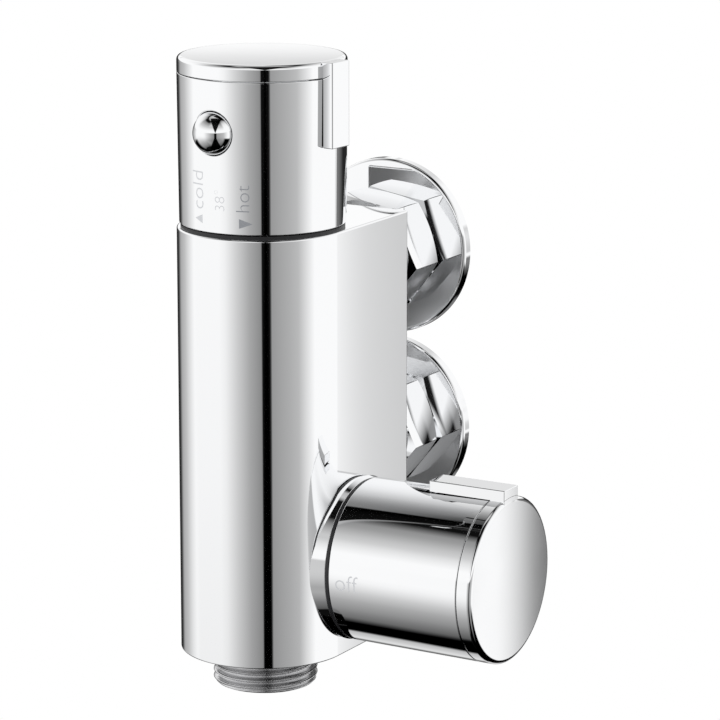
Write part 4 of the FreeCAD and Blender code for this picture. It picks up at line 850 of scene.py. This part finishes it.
def cap(knob):
    """Turned cap with its spigot, and a grip fin: an outline carried along the knob, round under the sleeve."""
    end, half, small, tight, core, bite = knob.end, knob.fin_width / 2, 0.25, 0.03, 18.0, 0.3
    spigot, inside, foot, lid, lip = 18.77, 17.17, knob.seam - 3, end - 2.4, knob.seam + knob.seam_gap
    outer, under, e = knob.radius + knob.fin_rise, knob.radius + knob.fin_gap, knob.fin_edge
    swing = math.asin(half / under) * np.linspace(1, -1, 13)
    outline = route([(outer, -half, e), (outer, half, e), *zip(under * np.cos(swing), under * np.sin(swing))],
                    closed=True)
    low, high = end - knob.fin_length, end - 0.02
    wall, edge = walled(outline, low, high, small, 0.9 * small, 48)
    return [
        turned([(spigot, foot), (spigot, lip), (knob.radius, lip, knob.edge), (knob.radius, end, knob.rounding),
                (0, end), (0, lid), (inside, lid), (inside, foot)], steps=240),
        wall, filled(edge, low, -1), filled(edge, high, 1),
        *box((core, -half + tight, knob.seam + tight), (under + bite, half - tight, high - tight)),
    ]


def knob_pieces(kind, knob, place, sleeve):
    """Sleeve and cap of a knob, laid on its mounting face and riding on its body."""
    for part, patches in (("sleeve", sleeve), ("cap", cap(knob))):
        piece(f"{kind}_{part}", all_placed(patches, *place), "chrome_plate", f"{kind}_knob", f"{kind}_knob_{part}")


def button(knob):
    """Button: a profile turned about its stroke, with a dome of its own radius, and the flat stop arm."""
    radius, dome, height, e = knob.button_radius, knob.button_reach + knob.button_radius, knob.button_height, 0.15
    rod, rod_end, collar, back, front, arm_half, arm_foot = 2.2, 6.8, 6.6, 15, 17, 2, 3.25
    head = turned([(0, rod_end), (rod, rod_end, 2 * e), (rod, back), (collar, back, e), (collar, front, e),
                   (radius, front), (radius, dome, radius), (0, dome)], False)
    arm = box((-arm_half, -front, arm_foot), (arm_half, -back, height))
    return [placed(head, (0, 0, height), TO_THE_USER), *arm]


def union_nut(pipes):
    """Hexagon nut with crowned flats, each a net of 24 by 8 cells.

    Across u and along v, both from -1 to 1, a flat's point stands off the axis by its half width less
    crown (u^2 + v^2), and its normal leans by the slope of that. A cone cuts both ends, so an end sinks by the
    chamfer's slope times the distance beyond the middle of the flat. The bores are turned.
    """
    crown, front, rear = pipes.nut_crown, pipes.nut_front, pipes.nut_rear
    columns, rows, count, shoulder, bores = 25, 9, 150, front + 3.5, (11.1, 13.3)
    flat, half, middle = pipes.nut_flats / 2, (rear - front) / 2, (front + rear) / 2
    wide = (flat - 2 * crown) * math.tan(math.pi / 6)
    side, u = (part.ravel() for part in np.meshgrid(np.arange(6), np.linspace(-1, 1, columns), indexing="ij"))
    v = np.linspace(-1, 1, rows)[:, None]
    facing = side * math.pi / 3 + math.pi / 6 - pipes.nut_turn
    out, along = (np.stack([np.cos(way), np.sin(way)], axis=1) for way in (facing, facing + math.pi / 2))
    rim = np.hypot(flat - crown * (u ** 2 + 1), wide * u)
    sink = pipes.nut_slope * (rim - flat + crown)
    deep = flat - crown * (u ** 2 + v ** 2)
    wall = np.concatenate([deep[..., None] * out + (wide * u)[:, None] * along,
                           (middle + v * (half - sink))[..., None]], axis=2)
    lean = np.concatenate([np.broadcast_to(out + (2 * crown * u / wide)[:, None] * along, (rows, count, 2)),
                           np.broadcast_to((2 * crown * v / half)[..., None], (rows, count, 1))], axis=2)
    patches = [grid(wall[:, n:n + columns], lean[:, n:n + columns]) for n in range(0, count, columns)]
    around = wall[0, :, :2] / np.linalg.norm(wall[0, :, :2], axis=1)[:, None]

    def level(radius, height):
        """Ring of points or normals at the bearings of the rim's points."""
        return np.column_stack([radius * around, np.full(count, float(height))])

    for end, edge, way, radius in ((front, wall[0], -1, bores[0]), (rear, wall[-1], 1, bores[1])):
        inner, hole = level(flat - crown, end), level(radius, end)
        patches += [strip(inner, edge, level(pipes.nut_slope, way)), strip(hole, inner, level(0, way)),
                    strip(hole, level(radius, shoulder), level(-1, 0))]
    return [*patches, strip(level(bores[0], shoulder), level(bores[1], shoulder), level(0, 1))]


def thread(radius, low, high, pipes, starts_high=False):
    """Thread wall. Its radius is the crest less depth times half of one less cos(2 pi (height / pitch - turn)).

    The groove fades over half a pitch at both ends, and a chamfer cuts the starting end at 45 degrees.
    """
    rows_per_turn, columns = 14, 160
    z = np.linspace(low, high, round((high - low) / pipes.pitch * rows_per_turn))[:, None]
    turn = np.linspace(0, 1, columns, endpoint=False)[None]
    groove = 0.5 - 0.5 * np.cos(2 * math.pi * (z / pipes.pitch - turn))
    fade = np.clip((z - low) / pipes.pitch * 2, 0, 1) * np.clip((high - z) / pipes.pitch * 2, 0, 1)
    start = high - z if starts_high else z - low
    reach = np.minimum(radius - pipes.depth * groove * fade, radius - pipes.chamfer + start)
    swing = 2 * math.pi * turn
    points = np.stack([reach * np.cos(swing), reach * np.sin(swing), z + 0 * turn], axis=-1)
    along = np.gradient(points, axis=0)
    around = np.roll(points, -1, axis=1) - np.roll(points, 1, axis=1)
    return grid(points, np.cross(around, along), closed=True)


def outlet(body, pipes):
    """Outlet: thread wall, undercut, sealed shank in its socket and the waterway, turned about one axis."""
    low, crest, neck = pipes.outlet_end - body.bottom, pipes.outlet_radius, body.socket - 0.03
    undercut, groove, groove_low, groove_high, waterway, end, start = 12.3, 10.72, 5.8, 7.4, 9, 8.97, -1
    rest = turned([(crest, start), (undercut, start), (undercut, 0), (neck, 0), (neck, groove_low),
                   (groove, groove_low), (groove, groove_high), (neck, groove_high), (neck, end), (waterway, end),
                   (waterway, low), (crest - pipes.chamfer, low)], False)
    return all_placed([thread(crest, low, start, pipes), rest], (0, body.axis, body.bottom))


def wall_union(pipes):
    """Union: nut thread in front of the wall, pipe thread in it, and a straight bore."""
    front, end, crest, pipe = pipes.union_front, pipes.union_end, pipes.union_radius, pipes.pipe_radius
    step, waterway = -1.2, 7
    return [
        thread(crest, front, step, pipes),
        turned([(crest, step), (pipe, step)], False),
        thread(pipe, step, end, pipes, starts_high=True),
        turned([(pipe - pipes.chamfer, end), (waterway, end), (waterway, front), (crest - pipes.chamfer, front)],
               False),
    ]


def inlet_tail():
    """Tail: turned shank with its O-ring groove, neck, flange and the check valve's pocket."""
    waterway, pocket, shank, groove, neck, flange, e = 6, 8, 10.4, 9.15, 10.9, 12.9, 0.2
    front, groove_front, groove_rear, shoulder = -39.52, -37.92, -36.32, -30.05
    bottom, flange_front, rear = -26, -13.6, -11
    return [turned([(waterway, front), (shank, front), (shank, groove_front), (groove, groove_front),
                    (groove, groove_rear), (shank, groove_rear), (shank, shoulder), (neck, shoulder),
                    (neck, flange_front), (flange, flange_front, e), (flange, rear, e), (pocket, rear),
                    (pocket, bottom), (waterway, bottom)])]


def rosette(pipes):
    """Pressed cover plate: a thin turned shell with a rounded shoulder."""
    radius, front, hole, sheet = pipes.rosette_radius, -pipes.rosette_depth, 13.6, 1.2
    return [turned([(hole, front), (radius, front, 1.0), (radius, 0), (radius - sheet, 0),
                    (radius - sheet, front + sheet, 0.4), (hole, front + sheet)], steps=240)]


def coil(radius, wire, length, stroke, turns):
    """Coil of round wire from height 0 to length, whose far end can be pushed in by a stroke.

    The wire's angle grows with the height that this leaves, so that the turns lie evenly when pressed and
    close at both ends when not. A ring of points round the wire lies at its radius times the cosine outward
    and the sine along the axis.
    """
    rings_per_turn, columns = 50, 16
    share = np.linspace(0, 1, rings_per_turn * turns + 1)[:, None]
    rise = share * (length - 2 * wire)
    pressed = rise - stroke * share ** 2 * (3 - 2 * share)
    swing = 2 * math.pi * turns * pressed / pressed[-1]
    lap = np.linspace(0, 2 * math.pi, columns, endpoint=False)[None]
    across, up = radius + wire * np.cos(lap), wire + rise + wire * np.sin(lap)
    points = np.stack([across * np.cos(swing), across * np.sin(swing), up], axis=-1)
    normals = np.stack([np.cos(lap) * np.cos(swing), np.cos(lap) * np.sin(swing), np.sin(lap) + 0 * swing], axis=-1)
    flat = ((1, 0, 0), (0, 0, 1), (0, 1, 0))
    ends = [placed(filled(np.column_stack([across[0], up[row]]), 0, facing), axes=flat)
            for row, facing in ((0, -1), (-1, 1))]
    return [grid(points, normals, closed=True), *ends]


def wrapped(points, knob, foot, bearing, height):
    """Lays flat print round a knob.

    A point (right, up, proud) goes to the angle bearing + right / radius from the knob's front, at
    height + up, and proud above the wall, whose radius grows by the taper from the foot to the seam.
    """
    up = height + points[:, 1]
    wall = knob.radius - knob.taper * (knob.seam - up) / (knob.seam - foot)
    swing = bearing + points[:, 0] / wall
    radius = wall + points[:, 2]
    return np.column_stack([radius * np.sin(swing), -radius * np.cos(swing), up])


def word(text, size, shear=0.0):
    """Mesh of a word in millimetres about its middle, (right, up, proud), cut small enough to bend."""
    same_spot, longest_edges = 1e-5, (0.8, 0.4)
    curve = bpy.data.curves.new("word", "FONT")
    curve.body, curve.size, curve.extrude, curve.offset = text, size, PRINT_HALF, PRINT_OFFSET
    curve.align_x, curve.align_y, curve.shear = "CENTER", "CENTER", shear
    source = new_object("word", curve)
    mesh = bpy.data.meshes.new_from_object(source.evaluated_get(bpy.context.evaluated_depsgraph_get()))
    bpy.data.objects.remove(source)
    shape = bmesh.new()
    shape.from_mesh(mesh)
    bmesh.ops.remove_doubles(shape, verts=shape.verts, dist=same_spot)
    bmesh.ops.triangulate(shape, faces=shape.faces)
    for limit in longest_edges:
        bmesh.ops.subdivide_edges(shape, edges=[e for e in shape.edges if e.calc_length() > limit], cuts=1)
        bmesh.ops.triangulate(shape, faces=shape.faces)
    shape.to_mesh(mesh)
    shape.free()
    return mesh


def arrow(width, reach):
    """Solid triangle in metres, its tip on the right, or on the left where reach is negative: its outline, in
    short steps and anticlockwise either way, drawn in to the middle in rings, above and below."""
    steps, rows = 8, 9
    corners = np.array([(-reach / 3, -width / 2), (2 * reach / 3, 0), (-reach / 3, width / 2)])
    corners[:, 1] *= math.copysign(1, reach)
    share = np.linspace(0, 1, steps, endpoint=False)[:, None]
    outline = np.concatenate([corners[n] + share * (corners[(n + 1) % 3] - corners[n]) for n in range(3)])
    rings = np.linspace(0, 1, rows)[:, None, None] * outline
    sides = [grid(np.insert(rings, 2, height, axis=2), np.broadcast_to((0.0, 0.0, height), (rows, 3 * steps, 3)),
                  closed=True) for height in (PRINT_HALF, -PRINT_HALF)]
    edge = carried(route(list(outline), closed=True), route([(0, -PRINT_HALF), (0, PRINT_HALF)]))
    return made_mesh("arrow", sides + [edge])


def printed(name, mesh, unit, upright, knob, foot, bearing, height, place, ink, body):
    """Print on a knob's wall; unit turns the mesh into millimetres, upright makes it read upwards."""
    co = np.empty(len(mesh.vertices) * 3)
    mesh.vertices.foreach_get("co", co)
    co = co.reshape(-1, 3) * unit
    if upright:
        co = np.column_stack([-co[:, 1], co[:, 0], co[:, 2]])
    co = wrapped(co + (0, 0, PRINT_LIFT), knob, foot, bearing, height)
    origin, axes = place
    mesh.vertices.foreach_set("co", ((co @ np.array(axes, float) + np.array(origin)) * MM).ravel())
    mesh.update()
    mesh.materials.clear()
    mesh.materials.append(finishes()[ink])
    item = new_object(name, mesh)
    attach(item, body)


class MIXER_OT_finishes(Operator):
    """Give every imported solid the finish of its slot"""

    bl_idname = "mixer.finishes"
    bl_label = "Finishes"

    def execute(self, context):
        ready = finishes()
        for entry in frame["record"]["subparts"]:
            node = frame["nodes"][entry["node"]]
            node.data.materials.clear()
            node.data.materials.append(ready[entry["material_slot"]])
        return {"FINISHED"}


class MIXER_OT_casting(Operator):
    """Build the chrome-plated casting with its bores"""

    bl_idname = "mixer.casting"
    bl_label = "Casting"

    def execute(self, context):
        body, = in_mm(context.scene, "body")
        item = piece("casting", casting(body), "chrome_plate", "valve", "valve_body")
        item.data.materials[0] = plated_casting(context.scene.mixer_colours.chrome, context.scene.mixer_body.rear)
        return {"FINISHED"}


class MIXER_OT_temperature_knob(Operator):
    """Build the temperature knob's sleeve with its button window, and its cap with the grip fin"""

    bl_idname = "mixer.temperature_knob"
    bl_label = "Temperature knob"

    def execute(self, context):
        body, knob = in_mm(context.scene, "body", "knob")
        sleeve = button_window(knob) + notched_web() + guide_block(knob)
        knob_pieces("temperature", knob, valve_top(body, knob), sleeve)
        return {"FINISHED"}


class MIXER_OT_flow_knob(Operator):
    """Build the flow knob's sleeve, and its cap with the grip fin"""

    bl_idname = "mixer.flow_knob"
    bl_label = "Flow knob"

    def execute(self, context):
        body, knob = in_mm(context.scene, "body", "knob")
        knob_pieces("flow", knob, valve_side(body), plain_sleeve(knob, body.boss_rise + knob.gap))
        return {"FINISHED"}


class MIXER_OT_stop_button(Operator):
    """Build the domed button that releases the stop at 38 degrees"""

    bl_idname = "mixer.stop_button"
    bl_label = "Stop button"

    def execute(self, context):
        body, knob = in_mm(context.scene, "body", "knob")
        piece("stop_button", all_placed(button(knob), *valve_top(body, knob)), "chrome_plate", "safety_button",
              "safety_button")
        return {"FINISHED"}


class MIXER_OT_inlets(Operator):
    """Build the nut, cover plate, tail and threaded union of both inlets"""

    bl_idname = "mixer.inlets"
    bl_label = "Inlets"

    def execute(self, context):
        body, pipes = in_mm(context.scene, "body", "pipes")
        for side, drop in (("upper", 0), ("lower", body.spacing)):
            for part, patches, slot, node in (("nut", union_nut(pipes), "chrome_plate", "union_nut"),
                                              ("cover", rosette(pipes), "chrome_plate", "rosette"),
                                              ("tail", inlet_tail(), "chrome_plate", "inlet_tail"),
                                              ("union", wall_union(pipes), "machined_nickel", "wall_union")):
                patches = all_placed(patches, *inlet_place(drop))
                item = piece(f"{side}_{part}", patches, slot, "valve", f"{side}_{node}")
                if part == "union":
                    item.data.materials[0] = finishes()["union_nickel"]
        return {"FINISHED"}


class MIXER_OT_outlet(Operator):
    """Build the threaded outlet under the casting"""

    bl_idname = "mixer.outlet"
    bl_label = "Outlet"

    def execute(self, context):
        body, pipes = in_mm(context.scene, "body", "pipes")
        piece("outlet_thread", outlet(body, pipes), "machined_nickel", "valve", "outlet_nipple")
        return {"FINISHED"}


class MIXER_OT_springs(Operator):
    """Wind the springs that are pressed between a still piece and a sliding one"""

    bl_idname = "mixer.springs"
    bl_label = "Springs"

    def execute(self, context):
        body, knob, sizes = in_mm(context.scene, "body", "knob", "springs")
        button = ((0, -sizes.button_foot, knob.button_height), TO_THE_USER)
        check, lifted = ((0, 0, sizes.check_foot),), ((0, 0, sizes.return_foot - body.top),)
        for name, kind, turns, spot, place, bodies, node in (
            ("button_spring", "button", 3, button, valve_top(body, knob),
             ("temperature_knob", "safety_button"), "safety_button_spring"),
            *((f"{side}_check_spring", "check", 3, check, inlet_place(drop),
               ("valve", f"{side}_check_poppet"), f"{side}_check_valve_spring")
              for side, drop in (("upper", 0), ("lower", body.spacing))),
            ("shuttle_spring", "return", 6, lifted, valve_top(body), ("valve", "thermostat"), "return_spring"),
        ):
            radius, wire, span, stroke = (getattr(sizes, f"{kind}_{part}")
                                          for part in ("coil", "wire", "length", "stroke"))
            patches = all_placed(all_placed(coil(radius, wire, span, stroke, turns), *spot), *place)
            middles = np.array([(0, 0, wire), (0, 0, span - wire)])
            ends = placed(placed((middles, None, middles), *spot), *place)[0] * MM
            piece(name, patches, "spring_steel", bodies, node, ends=ends.tolist())
        return {"FINISHED"}


class MIXER_OT_print(Operator):
    """Print the words and arrows on both knobs"""

    bl_idname = "mixer.print"
    bl_label = "Print"

    def execute(self, context):
        body, knob = in_mm(context.scene, "body", "knob")
        top, side = valve_top(body), (valve_side(body)[0], ((0, 0, -1), (0, 1, 0), (1, 0, 0)))
        for name, mesh, bearing, height, ink in (
            ("print_cold", word("cold", 5.8), -17.3, 11.4, "pale_print"),
            ("print_38", word("38°", 4.0), 1.6, 9.3, "pale_print"),
            ("print_hot", word("hot", 5.1), 18.4, 10.0, "dark_print"),
            ("arrow_cold", arrow(2.2, -2.6), -16.0, 4.3, "pale_print"),
            ("arrow_hot", arrow(2.4, 3.4), 18.4, 3.95, "dark_print"),
        ):
            upright = name.startswith("print")
            printed(name, mesh, 1 if upright else 1000, upright, knob, knob.gap, math.radians(bearing), height,
                    top, ink, "temperature_knob")
        foot = body.boss_rise + knob.gap
        printed("print_off", word("off", 6.2), 1, True, knob, foot, 0.045, foot + 4.9, side, "pale_print",
                "flow_knob")
        return {"FINISHED"}


class MIXER_OT_stage(Operator):
    """Camera, floor, lamp and surroundings"""

    bl_idname = "mixer.stage"
    bl_label = "Stage"

    def execute(self, context):
        scene = context.scene
        studio = scene.mixer_studio
        scene.view_settings.view_transform = "Standard"
        camera = new_object("camera", bpy.data.cameras.new("camera"))
        camera.data.lens = studio.lens
        camera.data.sensor_width = 36
        camera.data.clip_start = 0.05
        camera.location = studio.place
        camera.rotation_euler = (math.pi / 2 - studio.dip, 0, studio.bearing)
        scene.camera = camera
        studio_world(studio)
        floor(studio)
        lamp = new_object("key_lamp", bpy.data.lights.new("key_lamp", "AREA"))
        lamp.data.shape = "DISK"
        lamp.data.size = 0.8
        lamp.data.energy = studio.lamp
        lamp.location = (-0.5, -0.9, 1.1)
        lamp.rotation_euler = (math.radians(42), 0, math.radians(-29))
        lamp.visible_glossy = False
        lamp.visible_camera = False
        return {"FINISHED"}


class MIXER_PT_pieces(Panel):
    """Lists the steps that build the mixer"""

    bl_label = "Mixer"
    bl_idname = "MIXER_PT_pieces"
    bl_space_type = "VIEW_3D"
    bl_region_type = "UI"
    bl_category = "Mixer"

    def draw(self, context):
        for step in STEPS:
            self.layout.operator(step.bl_idname)


STEPS = (MIXER_OT_finishes, MIXER_OT_casting, MIXER_OT_temperature_knob, MIXER_OT_flow_knob, MIXER_OT_stop_button,
         MIXER_OT_inlets, MIXER_OT_outlet, MIXER_OT_springs, MIXER_OT_print, MIXER_OT_stage)
GROUPS = {"mixer_body": MixerBodySizes, "mixer_knob": MixerKnobSizes, "mixer_pipes": MixerPipeSizes,
          "mixer_springs": MixerSpringSizes, "mixer_colours": MixerColours, "mixer_studio": MixerStudio}


def register():
    """Makes the sizes, steps and panel known to Blender."""
    for group in GROUPS.values():
        bpy.utils.register_class(group)
    for name, group in GROUPS.items():
        setattr(bpy.types.Scene, name, PointerProperty(type=group))
    for step in (*STEPS, MIXER_PT_pieces):
        bpy.utils.register_class(step)


def unregister():
    """Takes them away again, in the other order."""
    for step in (*STEPS, MIXER_PT_pieces):
        bpy.utils.unregister_class(step)
    for name in GROUPS:
        delattr(bpy.types.Scene, name)
    for group in GROUPS.values():
        bpy.utils.unregister_class(group)


def main():
    """Builds the mixer step by step."""
    register()
    bpy.ops.mixer.finishes()
    bpy.ops.mixer.casting()
    bpy.ops.mixer.temperature_knob()
    bpy.ops.mixer.flow_knob()
    bpy.ops.mixer.stop_button()
    bpy.ops.mixer.inlets()
    bpy.ops.mixer.outlet()
    bpy.ops.mixer.springs()
    bpy.ops.mixer.print()
    bpy.ops.mixer.stage()


if __name__ == "__main__":
    main()
